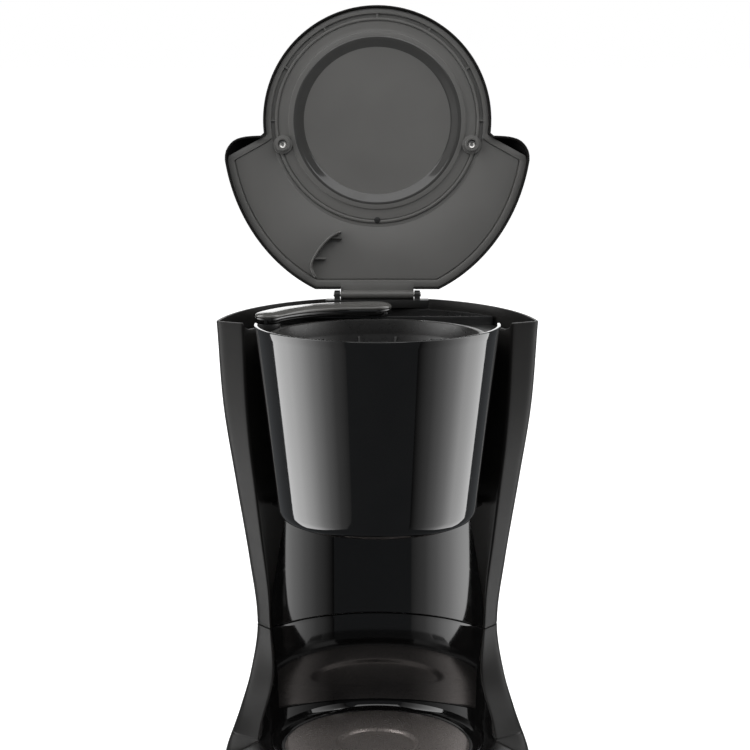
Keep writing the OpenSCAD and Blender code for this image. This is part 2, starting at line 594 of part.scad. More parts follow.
module lid_plate(t, z0, z1) translate([0, 0, z0]) linear_extrude(z1 - z0) polygon(lid_loop(panel_wing, t));
module lid_ring(r0, r1, z0, z1) difference() {
    rod(r1, z0, z1);
    rod(r0, z0 - 1, z1 + 1);
}
module lid_panel() color("#4a4a48") at_lid() {
    difference() {
        union() {
            difference() {
                lid_plate(1.7, panel_z - 0.9, panel_z + 2);
                // sunk field inside the edge flange
                difference() {
                    translate([0, 0, panel_z - 2]) linear_extrude(2) polygon(field_loop);
                    lid_ring(ring_r, ring_r + 1.4, panel_z - 2, panel_z + 2);
                    rod(62, panel_z - 3, panel_z + 3);
                }
                lid_ring(ring_r + 1.8, ring_r + 4.5, panel_z - 2, panel_z + 1);
            }
            for (s = [-1, 1]) {
                rod(6.5, panel_z - 2, panel_z + 1, s * boss_x, boss_y);
                rod(4.7, panel_z - 5, panel_z + 1, s * boss_x, boss_y);
            }
            // hinge barrel
            translate([-barrel_x, hinge_y, hinge_z]) rotate([0, 90, 0])
                cylinder(r = eye_r, h = 2 * barrel_x, $fn = 48);
            block(-barrel_x, barrel_x, 114, hinge_y, panel_z - 1, panel_z + 2);
            // small ribs in the ring channel
            for (a = [-90:30:90]) rotate(a - 90)
                block(ring_r + 1.5, ring_r + 4.7, -0.7, 0.7, panel_z, panel_z + 1);
        }
        // sunk disc in the middle
        translate([0, 0, panel_z - 3]) cylinder(r1 = 60, r2 = 52, h = 4, $fn = fine);
        rod(2.3, panel_z - 2, panel_z, 0, ring_r - 0.2);
        for (s = [-1, 1]) {
            rod(1.9, panel_z - 6, panel_z + 3, s * boss_x, boss_y);
            rod(3.1, panel_z - 6, panel_z - 2, s * boss_x, boss_y);
            translate([s * 22 - 4, hinge_y, hinge_z]) rotate([0, 90, 0])
                cylinder(r = pin_r + 0.06, h = 8, $fn = 48);
        }
    }
    // curved blade that sends the arm over the basket
    for (i = [0:len(fin_path) - 2]) let (p = fin_path[i], q = fin_path[i + 1], d = unit(q - p))
        translate([p[0], p[1], 312.8 + i * 1.1]) rotate([0, 0, atan2(d[1], d[0])])
            translate([-0.8, -0.8, 0]) cube([norm(q - p) + 1.6, 1.6, 322 - 312.8 - i * 1.1]);
    for (q = [[-33, 82], [-44.4, 96.4]]) translate([q[0], q[1] - 0.6, 317]) cube([9, 1.2, 5]);
}
module lid_screws() color("silver") at_lid() for (s = [-1, 1]) {
    rod(3, panel_z - 3.6, panel_z - 2, s * boss_x, boss_y);
    rod(1.88, panel_z - 2.4, panel_z + 4.4, s * boss_x, boss_y);
}
module hinge_bracket() color("#1c1c1c") at_brew() difference() {
    union() {
        block(-36, 36, 117, 127.2, 311.8, 317.2);
        for (s = [-1, 1]) translate([s * lug_x - 2, 0, 0]) hinge_lug();
    }
    for (s = [-1, 1]) translate([s * 24.5 - 7, hinge_y, hinge_z]) rotate([0, 90, 0])
        cylinder(r = pin_r, h = 14, $fn = 48);
}
module hinge_lug() {
    translate([0, hinge_y, hinge_z]) rotate([0, 90, 0]) cylinder(r = eye_r, h = 4, $fn = 48);
    block(0, 4, hinge_y - eye_r, hinge_y + eye_r, 316, hinge_z);
}
module hinge_pins() color("silver") at_brew() for (s = [-1, 1])
    translate([s * 24.5 - 6.1, hinge_y, hinge_z]) rotate([0, 90, 0])
        cylinder(r = pin_r, h = 12.2, $fn = 48);

// ---------- Switch, lamp, cord gland, fasteners ----------

module switch_bezel() color("#181818") at_brew() difference() {
    union() {
        block(-20, 20, -101.6, -90, switch_z - 8.4, switch_z + 8.4);
        block(-21.5, 21.5, -102.6, -101.1, switch_z - 9.6, switch_z + 9.6);
    }
    block(-16, 8, -110, -80, switch_z - 6.6, switch_z + 6.6);
    translate([14, -80, switch_z]) rotate([90, 0, 0]) cylinder(r = 2.5, h = 40, $fn = 32);
}
module switch_rocker() color("#0f0f0f") at_brew()
translate([-15.8, -93.4, switch_z]) rotate([6, 0, 0]) difference() {
    union() {
        rotate([0, 90, 0]) cylinder(r = rocker_r, h = 23.6, $fn = 64);
        block(0, 23.6, -10.2, 0, -5.6, 5.6);
    }
    for (s = [-1, 1]) rotate([s * 6, 0, 0])
        translate([-1, -20, s > 0 ? 0 : -20]) cube([26, 10.9, 20]);
}
module indicator_lamp() color("#c7402c") at_brew() translate([14, -103, switch_z]) rotate([-90, 0, 0])
    cylinder(r = 2.48, h = 9, $fn = 32);
module terminal_block() color("#e8e4d8") at_brew() difference() {
    block(-16, 16, 88, 100, 5.8, 18);
    for (x = [-10, 0, 10]) rod(2.2, 10, 20, x, 94);
}
module cord_gland() color("#141414") at_brew()
translate([0, 118.4, entry_z]) rotate([-90, 0, 0]) difference() {
    union() {
        cylinder(r = 7, h = 9, $fn = 48);
        translate([0, 0, 8.2]) cylinder(r = 8.6, h = 1.6, $fn = 48);
        cylinder(r = 8.6, h = 3, $fn = 48);
    }
    translate([0, 0, -1]) cylinder(r = entry_r, h = 14, $fn = 48);
}

upper_housing();
bay_panel();
filter_housing();
drum_floor();
base_housing();
base_plate();
rubber_feet();
hotplate_surround();
hotplate();
hotplate_seal();
heating_element();
water_channel();
element_clamp();
thermostat();
thermal_fuse();
water_tank();
tank_strainer();
check_valve_body();
check_valve_ball();
inlet_hose();
riser_hose();
hose_clips();
arm_post();
spray_arm();
spray_arm_cover();
spray_nozzle();
filter_basket();
drip_stop_plunger();
drip_stop_seal();
drip_stop_spring();
hinge_bracket();
hinge_pins();
lid_panel();
lid_cover();
lid_screws();
switch_bezel();
switch_rocker();
indicator_lamp();
terminal_block();
cord_gland();
base_screws();
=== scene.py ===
"""Drip coffee maker with its lid open: the visible pieces, their materials, the studio and the camera.

Lengths are in mm around the brew axis until place() turns them into the frame's metres.
"""
import math

import bmesh
import bpy
from mathutils import Matrix, Vector


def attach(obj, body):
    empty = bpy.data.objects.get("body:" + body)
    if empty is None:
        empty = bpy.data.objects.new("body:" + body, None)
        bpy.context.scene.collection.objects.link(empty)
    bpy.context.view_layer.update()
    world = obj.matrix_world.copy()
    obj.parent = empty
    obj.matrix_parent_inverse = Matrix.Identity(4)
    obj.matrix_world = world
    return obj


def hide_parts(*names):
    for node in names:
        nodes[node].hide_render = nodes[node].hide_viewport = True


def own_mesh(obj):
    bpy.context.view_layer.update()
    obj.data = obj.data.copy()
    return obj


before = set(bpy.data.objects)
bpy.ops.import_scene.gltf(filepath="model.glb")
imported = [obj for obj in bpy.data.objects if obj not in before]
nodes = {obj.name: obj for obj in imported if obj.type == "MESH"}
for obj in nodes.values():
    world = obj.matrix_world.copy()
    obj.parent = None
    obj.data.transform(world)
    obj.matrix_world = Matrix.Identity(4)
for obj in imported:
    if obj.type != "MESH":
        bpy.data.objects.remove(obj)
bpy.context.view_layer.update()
BREW_Y = -27.0  # the drum and the hotplate turn around this line

# ------------------------ profiles, in mm around the brew axis
CREASE_X = [(0, 104.5), (30, 100.8), (51, 93.5), (72, 87.4), (105, 82.9), (150, 87.6), (206, 95.6),
            (260, 102.5), (318, 105.4)]
CREASE_Y = [(42, 8), (51, 22), (60, 31), (83, 44), (105, 48), (150, 44.5), (206, 38), (260, 29.5),
            (318, 22.4)]
EDGE_X = [(42, 77.8), (50, 76.6), (62, 72.4), (70, 70.4), (80, 69.8), (105, 72), (132, 73), (170, 77.1),
          (202, 80.3), (233, 83.3), (271, 85.4), (318, 86.3)]
EDGE_Y = [(42, -5), (50, 6), (62, 20), (70, 26), (80, 30), (105, 33.5), (150, 30.5), (202, 25), (260, 17.5),
          (318, 12.2)]
BACK_B = [(0, 120.5), (105, 115), (318, 120.5)]
RETURN_X = [(38, 67), (80, 68.4), (105, 71), (126, 71), (175, 63), (191, 60), (230, 62), (255, 68.8),
            (280, 73.5), (318, 78.5)]
BAY_EDGE = [(104, 70.8), (126, 70.8), (175, 62.8), (194, 59.6)]
BAY_R, BAY_Y, PLAN_Y, TANK_Y = 90.0, -18.0, 6.0, 79.0
SEAM_Z, WALL = 104.5, 2.4
DRUM_R, DRUM_TOP, DRUM_FOOT_R, DRUM_FOOT_Z = 78.5, 318.0, 64.2, 191.0
HINGE_Y, HINGE_Z, OPEN = 121.6, 320.7, 98.0
LID_R, LID_A, LID_B, LID_Y, LID_CUT = 79.8, 108.1, 121.8, 6.4, 118.0


def knot(k, z):
    n = len(k)
    i = 0
    while i < n - 2 and z > k[i + 1][0]:
        i += 1

    def slope(j):
        a, b = max(j - 1, 0), min(j + 1, n - 1)
        return (k[b][1] - k[a][1]) / (k[b][0] - k[a][0])

    h = k[i + 1][0] - k[i][0]
    t = min(max((z - k[i][0]) / h, 0.0), 1.0)
    return ((2 * t**3 - 3 * t**2 + 1) * k[i][1] + (t**3 - 2 * t**2 + t) * slope(i) * h
            + (3 * t**2 - 2 * t**3) * k[i + 1][1] + (t**3 - t**2) * slope(i + 1) * h)


def mix(a, b, t):
    return a + (b - a) * t


def lerp2(p, q, t):
    return (mix(p[0], q[0], t), mix(p[1], q[1], t))


def smooth(x):
    x = min(max(x, 0.0), 1.0)
    return x * x * (3 - 2 * x)


def rim_z(y):
    return 316.0 + 2.2 * min(max((y - 22.6) / 103.9, 0.0), 1.0)


def unit2(d):
    n = math.hypot(d[0], d[1]) or 1e-9
    return (d[0] / n, d[1] / n)


def miter(a, p, b, t):
    d0 = unit2((p[0] - a[0], p[1] - a[1]))
    d1 = unit2((b[0] - p[0], b[1] - p[1]))
    n0, n1 = (-d0[1], d0[0]), (-d1[1], d1[0])
    m = unit2((n0[0] + n1[0], n0[1] + n1[1]))
    k = t / max(m[0] * n0[0] + m[1] * n0[1], 0.45)
    return (p[0] + m[0] * k, p[1] + m[1] * k)


def inset(loop, t):
    n = len(loop)
    return [miter(loop[i - 1], loop[i], loop[(i + 1) % n], t) for i in range(n)]


def bezier(a, c, b, n):
    return [lerp2(lerp2(a, c, i / n), lerp2(c, b, i / n), i / n) for i in range(n + 1)]


# ------------------------ mesh helpers
def place(p):
    return Vector((p[0] * 0.001, (p[1] + BREW_Y) * 0.001, p[2] * 0.001))


LID_TURN = Matrix.Rotation(math.radians(-OPEN), 4, "X")
LID_AXIS = place((0, HINGE_Y, HINGE_Z))


def open_lid(p):
    return LID_TURN @ (place(p) - LID_AXIS) + LID_AXIS


def make(name, parts, put=place, bevel=0.0, angle=32.0):
    """One object from several (points, faces) parts, in mm around the brew axis."""
    mesh = bpy.data.meshes.new(name)
    bm = bmesh.new()
    for points, faces in parts:
        vs = [bm.verts.new(put(p)) for p in points]
        for f in faces:
            if len(set(f)) >= 3:
                try:
                    bm.faces.new([vs[i] for i in f])
                except ValueError:
                    pass
    bmesh.ops.recalc_face_normals(bm, faces=bm.faces[:])
    if bevel:
        sharp = [e for e in bm.edges if len(e.link_faces) == 2 and e.calc_face_angle(0) > math.radians(angle)]
        bmesh.ops.bevel(bm, geom=sharp, offset=bevel * 0.001, segments=2, profile=0.6, affect="EDGES",
                        clamp_overlap=True)
    bm.to_mesh(mesh)
    bm.free()
    ob = bpy.data.objects.new(name, mesh)
    bpy.context.scene.collection.objects.link(ob)
    shade(mesh, angle)
    return ob


def shade(mesh, angle=32.0):
    mesh.polygons.foreach_set("use_smooth", [True] * len(mesh.polygons))
    mesh.set_sharp_from_angle(angle=math.radians(angle))


def grid(rows, ring=True, ends="fill"):
    """Part from rows of equal length. ring closes each row. ends closes the two end rows, or joins them."""
    n, k = len(rows[0]), len(rows)
    pts = [p for r in rows for p in r]
    faces = []
    for j in range(k if ends == "join" else k - 1):
        for i in range(n if ring else n - 1):
            a, b = j * n + i, j * n + (i + 1) % n
            c, d = ((j + 1) % k) * n + (i + 1) % n, ((j + 1) % k) * n + i
            faces.append((a, b, c, d))
    if ends == "fill":
        faces.append(tuple(range(n)))
        faces.append(tuple((k - 1) * n + i for i in range(n)))
    if ends == "join" and not ring:
        faces.append(tuple(j * n for j in range(k)))
        faces.append(tuple(j * n + n - 1 for j in range(k)))
    return pts, faces


def turned(profile, n=192, centre=(0, 0), closed=True):
    """Part by turning a closed (r, z) profile. Points at r = 0 become poles."""
    pts, faces, rings = [], [], []
    turns = [2 * math.pi * i / n for i in range(n)]
    for r, z in profile:
        if r < 1e-6:
            rings.append([len(pts)] * n)
            pts.append((centre[0], centre[1], z))
        else:
            rings.append(list(range(len(pts), len(pts) + n)))
            pts += [(centre[0] + r * math.cos(a), centre[1] + r * math.sin(a), z) for a in turns]
    m = len(rings)
    for j in range(m if closed else m - 1):
        a, b = rings[j], rings[(j + 1) % m]
        for i in range(n):
            f = [a[i], a[(i + 1) % n], b[(i + 1) % n], b[i]]
            f = [v for k, v in enumerate(f) if v not in f[:k]]
            if len(f) > 2:
                faces.append(tuple(f))
    return pts, faces


def box(x0, x1, y0, y1, z0, z1, spin=0.0):
    c, s = math.cos(math.radians(spin)), math.sin(math.radians(spin))
    plan = ((x0, y0), (x1, y0), (x1, y1), (x0, y1))
    pts = [(x * c - y * s, x * s + y * c, z) for z in (z0, z1) for x, y in plan]
    return pts, [(0, 1, 2, 3), (4, 5, 6, 7), (0, 1, 5, 4), (1, 2, 6, 5), (2, 3, 7, 6), (3, 0, 4, 7)]


def prism(loop, z0, z1):
    n = len(loop)
    pts = [(x, y, z0) for x, y in loop] + [(x, y, z1) for x, y in loop]
    sides = [(i, (i + 1) % n, n + (i + 1) % n, n + i) for i in range(n)]
    return pts, [tuple(range(n)), tuple(range(n, 2 * n))] + sides


def soften(profile, r, seg=3):
    """Rounds the corners of a closed (r, z) profile, except those on the axis."""
    out = []
    n = len(profile)
    for i, p in enumerate(profile):
        a, b = profile[i - 1], profile[(i + 1) % n]
        if p[0] < 1e-6:
            out.append(p)
            continue
        la, lb = math.dist(a, p), math.dist(p, b)
        ra, rb = min(r, la * 0.45) / la, min(r, lb * 0.45) / lb
        out += bezier(lerp2(p, a, ra), p, lerp2(p, b, rb), seg)
    return out


# ------------------------ materials
def material(name, base, rough, metal=0.0, spec=0.5, coat=0.0, coat_rough=0.1, mottle=0.12, mottle_scale=60.0,
             rough_spread=0.06, grain=0.0, grain_scale=1500.0, stretch=(1, 1, 1), sheen=0.0,
             transmission=0.0):
    """A principled surface whose colour and roughness drift a little, with a fine grain in its bump."""
    mat = bpy.data.materials.new(name)
    mat.use_nodes = True
    nt = mat.node_tree
    nt.nodes.clear()
    out = nt.nodes.new("ShaderNodeOutputMaterial")
    b = nt.nodes.new("ShaderNodeBsdfPrincipled")
    nt.links.new(b.outputs[0], out.inputs[0])
    b.inputs["Metallic"].default_value = metal
    b.inputs["Specular IOR Level"].default_value = spec
    b.inputs["IOR"].default_value = 1.5
    b.inputs["Coat Weight"].default_value = coat
    b.inputs["Coat Roughness"].default_value = coat_rough
    b.inputs["Transmission Weight"].default_value = transmission
    if sheen:
        b.inputs["Sheen Weight"].default_value = sheen
    co = nt.nodes.new("ShaderNodeTexCoord")
    mp = nt.nodes.new("ShaderNodeMapping")
    mp.inputs["Scale"].default_value = stretch
    nt.links.new(co.outputs["Object"], mp.inputs["Vector"])

    def noise(scale, detail):
        t = nt.nodes.new("ShaderNodeTexNoise")
        t.inputs["Scale"].default_value = scale
        t.inputs["Detail"].default_value = detail
        nt.links.new(mp.outputs[0], t.inputs["Vector"])
        return t

    cloud = noise(mottle_scale, 4)
    ramp = nt.nodes.new("ShaderNodeValToRGB")
    ramp.color_ramp.elements[0].position = 0.3
    ramp.color_ramp.elements[1].position = 0.7
    lo = [c * (1 - mottle) for c in base[:3]]
    hi = [min(c * (1 + mottle), 1.0) for c in base[:3]]
    ramp.color_ramp.elements[0].color = (*lo, 1)
    ramp.color_ramp.elements[1].color = (*hi, 1)
    nt.links.new(cloud.outputs["Fac"], ramp.inputs[0])
    nt.links.new(ramp.outputs[0], b.inputs["Base Color"])
    fine = noise(mottle_scale * 6, 6)
    rr = nt.nodes.new("ShaderNodeMapRange")
    rr.inputs["From Min"].default_value = 0.3
    rr.inputs["From Max"].default_value = 0.7
    rr.inputs["To Min"].default_value = max(rough - rough_spread, 0.02)
    rr.inputs["To Max"].default_value = rough + rough_spread
    nt.links.new(fine.outputs["Fac"], rr.inputs["Value"])
    nt.links.new(rr.outputs[0], b.inputs["Roughness"])
    if grain:
        g = noise(grain_scale, 3)
        bump = nt.nodes.new("ShaderNodeBump")
        bump.inputs["Strength"].default_value = min(grain, 1.0)
        bump.inputs["Distance"].default_value = 0.0001
        nt.links.new(g.outputs["Fac"], bump.inputs["Height"])
        nt.links.new(bump.outputs[0], b.inputs["Normal"])
    return mat


M_HOUSING = material("satin_black", (0.0115, 0.011, 0.0105), 0.34, spec=0.12, mottle=0.1, rough_spread=0.035,
                     grain=0.12, grain_scale=2600)
M_GLOSS = material("gloss_black", (0.0055, 0.0053, 0.0053), 0.06, mottle=0.15, rough_spread=0.012, coat=0.6,
                   coat_rough=0.04)
M_INNER = material("moulded_black", (0.012, 0.0118, 0.0115), 0.42, rough_spread=0.05, grain=0.25,
                   grain_scale=1800)
M_BASKET = material("basket_black", (0.014, 0.0135, 0.013), 0.3, rough_spread=0.04, grain=0.15,
                    grain_scale=2000)
M_LID = material("lid_grey", (0.118, 0.116, 0.111), 0.36, mottle=0.06, mottle_scale=22, rough_spread=0.04,
                 grain=0.16, grain_scale=2400)
M_BEVEL = material("lid_grey_polished", (0.05, 0.049, 0.047), 0.1, mottle=0.06, rough_spread=0.015, coat=0.5,
                   coat_rough=0.05)
M_ARM = material("arm_grey", (0.085, 0.083, 0.078), 0.16, mottle=0.06, rough_spread=0.03, grain=0.05,
                 grain_scale=1600, coat=0.4)
M_TANK = material("tank_smoke", (0.02, 0.02, 0.02), 0.16, mottle=0.15, rough_spread=0.03, coat=0.3)
M_PLATE = material("hotplate_coat", (0.44, 0.395, 0.375), 0.3, metal=0.85, mottle=0.05, mottle_scale=140,
                   rough_spread=0.05, grain=0.35, grain_scale=5200)
M_RUBBER = material("rubber_black", (0.014, 0.014, 0.014), 0.66, rough_spread=0.08, grain=0.4,
                    grain_scale=1400, sheen=0.1)
M_SILICONE = material("silicone", (0.55, 0.52, 0.45), 0.4, mottle=0.05, transmission=0.15, grain=0.1,
                      grain_scale=900)
M_RED = material("silicone_red", (0.42, 0.1, 0.045), 0.42, mottle=0.1, grain=0.1, grain_scale=900)
M_ALU = material("drawn_aluminium", (0.62, 0.62, 0.6), 0.32, metal=1.0, mottle=0.08, rough_spread=0.08,
                 stretch=(1, 6, 6), grain=0.3, grain_scale=900)
M_STEEL = material("zinc_steel", (0.62, 0.61, 0.59), 0.24, metal=1.0, mottle=0.12, mottle_scale=300,
                   rough_spread=0.08, grain=0.15, grain_scale=2500)
M_WHITE = material("natural_white", (0.74, 0.73, 0.69), 0.38, mottle=0.03, grain=0.15, grain_scale=1600)
M_CERAMIC = material("steatite", (0.7, 0.68, 0.62), 0.5, mottle=0.06, mottle_scale=220, grain=0.35,
                     grain_scale=1500)
M_LAMP = material("lamp_lens", (0.46, 0.05, 0.025), 0.1, mottle=0.1, transmission=0.35, coat=0.6)


def finish(ob, mat, body, slot, *stood_for):
    ob.data.materials.clear()
    ob.data.materials.append(mat)
    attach(ob, body)
    if stood_for:
        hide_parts(*stood_for)
    return ob


def polish(node, mat, body, slot, bevel=0.35):
    """A cleaned copy of a CAD node with softened edges, which stands for it."""
    src = nodes[node].data
    mesh = bpy.data.meshes.new(node + "_moulded")
    bm = bmesh.new()
    bm.from_mesh(src)
    bmesh.ops.remove_doubles(bm, verts=bm.verts[:], dist=2e-6)
    bmesh.ops.dissolve_limit(bm, angle_limit=math.radians(0.6), verts=bm.verts[:], edges=bm.edges[:])
    if bevel:
        sharp = [e for e in bm.edges if len(e.link_faces) == 2 and e.calc_face_angle(0) > math.radians(30)]
        bmesh.ops.bevel(bm, geom=sharp, offset=bevel * 0.001, segments=2, profile=0.6, affect="EDGES",
                        clamp_overlap=True)
    bm.to_mesh(mesh)
    bm.free()
    shade(mesh, 28.0)
    ob = bpy.data.objects.new(node + "_moulded", mesh)
    bpy.context.scene.collection.objects.link(ob)
    return finish(ob, mat, body, slot, node)


# ------------------------ housing
def bay_point(x, r=BAY_R):
    return (x, BAY_Y + math.sqrt(max(r * r - x * x, 0)))


SLOT_OUT, SLOT_IN = 36.4, 36.0  # sides of the slot in the back wall that the hinge bracket sits in


def back_half(z, c, t, start):
    """Elliptical back from near the crease to the centre line, with a column each side of the hinge slot."""
    b = knot(BACK_B, z)
    u0 = math.asin((c[1] - PLAN_Y) / b)
    a = c[0] / math.cos(u0)
    a, b2 = a - t, b - t
    u0 += start / b
    u1, u2 = math.acos(SLOT_OUT / a), math.acos(SLOT_IN / a)
    stops = [(u0, u1, 44), (u1, u2, 1), (u2, math.pi / 2, 14)]
    us = [p + (q - p) * i / k for p, q, k in stops for i in range(k)] + [math.pi / 2]
    return [(a * math.cos(u), PLAN_Y + b2 * math.sin(u)) for u in us]


def edge_path(e, f, c, arc, rf, rc):
    """e to f, round the front edge, over the front face, round the crease, on to the arc."""
    lef, lfc = math.dist(e, f), math.dist(f, c)
    a, b = lerp2(f, e, min(rf / lef, 0.4)), lerp2(f, c, min(rf / lfc, 0.3))
    g = lerp2(c, f, min(rc / lfc, 0.4))
    return ([lerp2(e, a, i / 5) for i in range(5)] + bezier(a, f, b, 6)
            + [lerp2(b, g, i / 7) for i in range(1, 7)] + bezier(g, c, arc[0], 7) + arc[1:])


def tower_anchor(z, t):
    """Corners of a tower's front at height z, set in by t: bay wall, front edge and crease."""
    e, f = bay_point(knot(RETURN_X, z)), (knot(EDGE_X, z), knot(EDGE_Y, z))
    c = (knot(CREASE_X, z), knot(CREASE_Y, z))
    arc = back_half(z, c, 0, 0)
    if not t:
        return e, f, c
    return miter((2 * e[0] - f[0], 2 * e[1] - f[1]), e, f, t), miter(e, f, c, t), miter(f, c, arc[1], t)


def tower_path(z, t):
    """Right half of the housing's outline, from the bay wall round the front to the middle of the back."""
    e, f, c = tower_anchor(z, 0)
    if not t:
        return edge_path(e, f, c, back_half(z, c, 0, 5.5), 2.0, 6.0)
    e2, f2, c2 = tower_anchor(z, t)
    return edge_path(e2, f2, c2, back_half(z, c, t, 3.5), 0.4, 2.5)


def mirrored(path):
    return path + [(-x, y) for x, y in reversed(path[:-1])]


SHOULDER_Z = 294  # above this the walls lean towards the sloping rim
SLOT_FLOOR_Z = 311.8


def housing_part():
    """Walls of the upper housing: up the outside, over the rounded rim and down the inside."""
    low = [SEAM_Z + 0.3, SEAM_Z + 0.5, SEAM_Z + 1.0]
    low += [SEAM_Z + 1.0 + (SHOULDER_Z - SEAM_Z - 1) * i / 52 for i in range(1, 53)]
    insets = {0: 0.5, 1: 0.15}

    def tops(path):
        out = []
        n = len(path)
        for i, (x, y) in enumerate(path):
            j = min(i, n - 1 - i)
            s = smooth((j - 2.5) / 5.0)
            z = mix(311.0, rim_z(y), s)
            if y > 100 and abs(x) < 36.2:
                z = SLOT_FLOOR_Z
            out.append(z)
        return out

    rows = []
    for k, z in enumerate(low):
        a, b = mirrored(tower_path(z, 0)), mirrored(tower_path(z, WALL))
        rows.append([(*lerp2(p, q, insets.get(k, 0) / WALL), z) for p, q in zip(a, b)])
    top_rows = [(0.0, 0.25), (0.0, 0.5), (0.0, 0.75), (0.0, 1.0, -0.9), (0.12, 1.0, -0.4),
                (0.38, 1.0, -0.12), (0.8, 1.0, 0.0), (WALL - 0.6, 1.0, 0.0), (WALL - 0.18, 1.0, -0.2),
                (WALL, 1.0, -0.7), (WALL, 0.75), (WALL, 0.5), (WALL, 0.25)]
    for r in top_rows:
        w = r[1]
        drop = r[2] if len(r) > 2 else 0
        zz = mix(SHOULDER_Z, 317, w)
        a, b = mirrored(tower_path(zz, 0)), mirrored(tower_path(zz, WALL))
        zt = tops(a)
        rows.append([(*lerp2(p, q, r[0] / WALL), mix(SHOULDER_Z, t + drop, w)) for p, q, t in zip(a, b, zt)])
    for z in reversed(low[::2]):
        rows.append([(*p, z) for p in mirrored(tower_path(z, WALL))])
    return grid(rows, ring=False, ends="join")


ob = make("tower_housing", [housing_part()], angle=34)
finish(ob, M_HOUSING, "root", "housing", "upper_housing")

BASE_SIDE = [(3, 101), (6, 103), (16, 103), (26, 101), (31, 99), (36, 94.5), (40.2, 88.5)]
BASE_REACH = [(3, 99), (6, 101), (16, 101), (26, 99.4), (31, 98), (36, 95.4), (40.2, 91.5)]
BASE_NOTCH = [(26, 0), (31, 0.25), (36, 0.62), (40.2, 1.0)]


def base_row(z, t, kind):
    """Closed row of the base: right front edge, crease, back, left, then the front from left to right."""
    if kind == "tower":
        zz = max(z, 42)
        e, f, c = tower_anchor(zz, t)
        c0 = (knot(CREASE_X, zz), knot(CREASE_Y, zz))
        arc = back_half(zz, c0, t, 5.5 if not t else 3.5)
        ex = knot(RETURN_X, zz) if not t else e[0]
        front = [bay_point(ex * math.cos(math.radians(90 * i / 24)), BAY_R + t) for i in range(25)]
    else:
        if kind == "deck":
            cz = 42
            c0, f = (knot(CREASE_X, 42), knot(CREASE_Y, 42)), (knot(EDGE_X, 42), knot(EDGE_Y, 42))
            us = [math.radians(6 + 84 * i / 24) for i in range(25)]
            front = [((78.9 - t) * math.cos(u), -(78.9 - t) * math.sin(u)) for u in us]
        else:
            cz = z
            notch = knot(BASE_NOTCH, z) if z > 26 else 0
            c0 = (knot(CREASE_X, z), mix(2, knot(CREASE_Y, 42), notch))
            f = (mix(knot(CREASE_X, z) - 0.4, 78.6, notch), mix(-8, -5, notch))
            side, reach = knot(BASE_SIDE, z) - t, knot(BASE_REACH, z) - t
            us = [math.radians(8 + 82 * i / 24) for i in range(25)]
            front = [(side * math.cos(u) ** 0.94, -10 - (reach - 10) * math.sin(u)) for u in us]
        arc0 = back_half(cz, c0, 0, 0)
        e, c = front[0], c0
        if t:
            f, c = miter(e, f, c0, t), miter(f, c0, arc0[1], t)
        arc = back_half(cz, c0, t, 5.5 if not t else 3.5)
    rf, rc = (2.0, 6.0) if not t else (0.4, 2.5)
    right = edge_path(e, f, c, arc, rf, rc)
    whole = mirrored(right)
    return whole + [(-x, y) for x, y in front[1:]] + list(reversed(front[1:-1]))


def base_part():
    """The base as one shell: up the outside, over the deck and the towers' feet, and down the inside."""
    def row(z, kind, t=0.0, shave=0.0, height=None):
        a = base_row(z, 0, kind)
        h = z if height is None else height
        if not t and not shave:
            return [(*p, h) for p in a]
        b = base_row(z, WALL, kind)
        return [(*lerp2(p, q, (t or shave) / WALL), h) for p, q in zip(a, b)]

    rows = [row(3, "base", shave=1.0, height=3.0), row(3.3, "base", shave=0.3, height=3.3)]
    zs = [4.2, 6, 9, 13, 17, 21, 24, 26.5, 28.5, 30, 31.5, 33, 34.4, 35.6, 36.7, 37.7, 38.6, 39.3, 39.8, 40.2]
    rows += [row(z, "base") for z in zs]
    rows += [row(41, "deck", height=40.7), row(42, "tower", height=41.0)]
    towers = [42 + (103.7 - 42) * i / 34 for i in range(35)]
    rows += [row(z, "tower") for z in towers]
    rows += [row(103.9, "tower", shave=0.06), row(104.15, "tower", shave=0.3),
             row(104.25, "tower", shave=0.8),
             row(104.25, "tower", shave=1.8), row(104.0, "tower", shave=WALL)]
    rows += [row(z, "tower", t=WALL) for z in reversed(towers[::3])]
    rows += [row(42, "tower", t=WALL, height=38.6), row(41, "deck", t=WALL, height=38.3)]
    rows += [row(z, "base", t=WALL, height=z - (2.4 if z > 33 else 1.2)) for z in reversed(zs[::3])]
    rows += [row(3, "base", t=WALL, height=3.0)]
    return grid(rows, ring=True, ends="join")


def cut(ob, cutters):
    """Subtracts closed objects from ob and keeps the result as its mesh."""
    for c in cutters:
        m = ob.modifiers.new("cut", "BOOLEAN")
        m.operation, m.solver, m.object = "DIFFERENCE", "EXACT", c
    bpy.context.view_layer.update()
    done = bpy.data.meshes.new_from_object(ob.evaluated_get(bpy.context.evaluated_depsgraph_get()))
    ob.modifiers.clear()
    ob.data = done
    shade(done, 34)
    for c in cutters:
        bpy.data.objects.remove(c)
    return ob


ob = make("base_shell", [base_part()], angle=34)
hole = make("hole", [turned([(0, 36), (70.2, 36), (70.2, 44), (0, 44)], 192, closed=False)])
face = make("face", [box(-20.2, 20.2, -110, -90, 8.4, 25.6)])
cable = make("cable", [turned([(0, 0), (7.1, 0), (7.1, 40), (0, 40)], 48, closed=False)],
             put=lambda p: place((p[0], 100 + p[2], 19 + p[1])))
cut(ob, [hole, face, cable])
finish(ob, M_HOUSING, "root", "housing", "base_housing")
ob.data.materials.append(M_GLOSS)
# The deck and the bay's wall are glossy, and the rest of the base is satin.
for poly in ob.data.polygons:
    x, y, z = (c * 1000 for c in poly.center)
    y -= BREW_Y
    in_bay = math.hypot(x, y - BAY_Y) < BAY_R + 0.8 and y < 75
    if z > 40.4 and in_bay and abs(x) < knot(EDGE_X, z) - 0.6:
        poly.material_index = 1


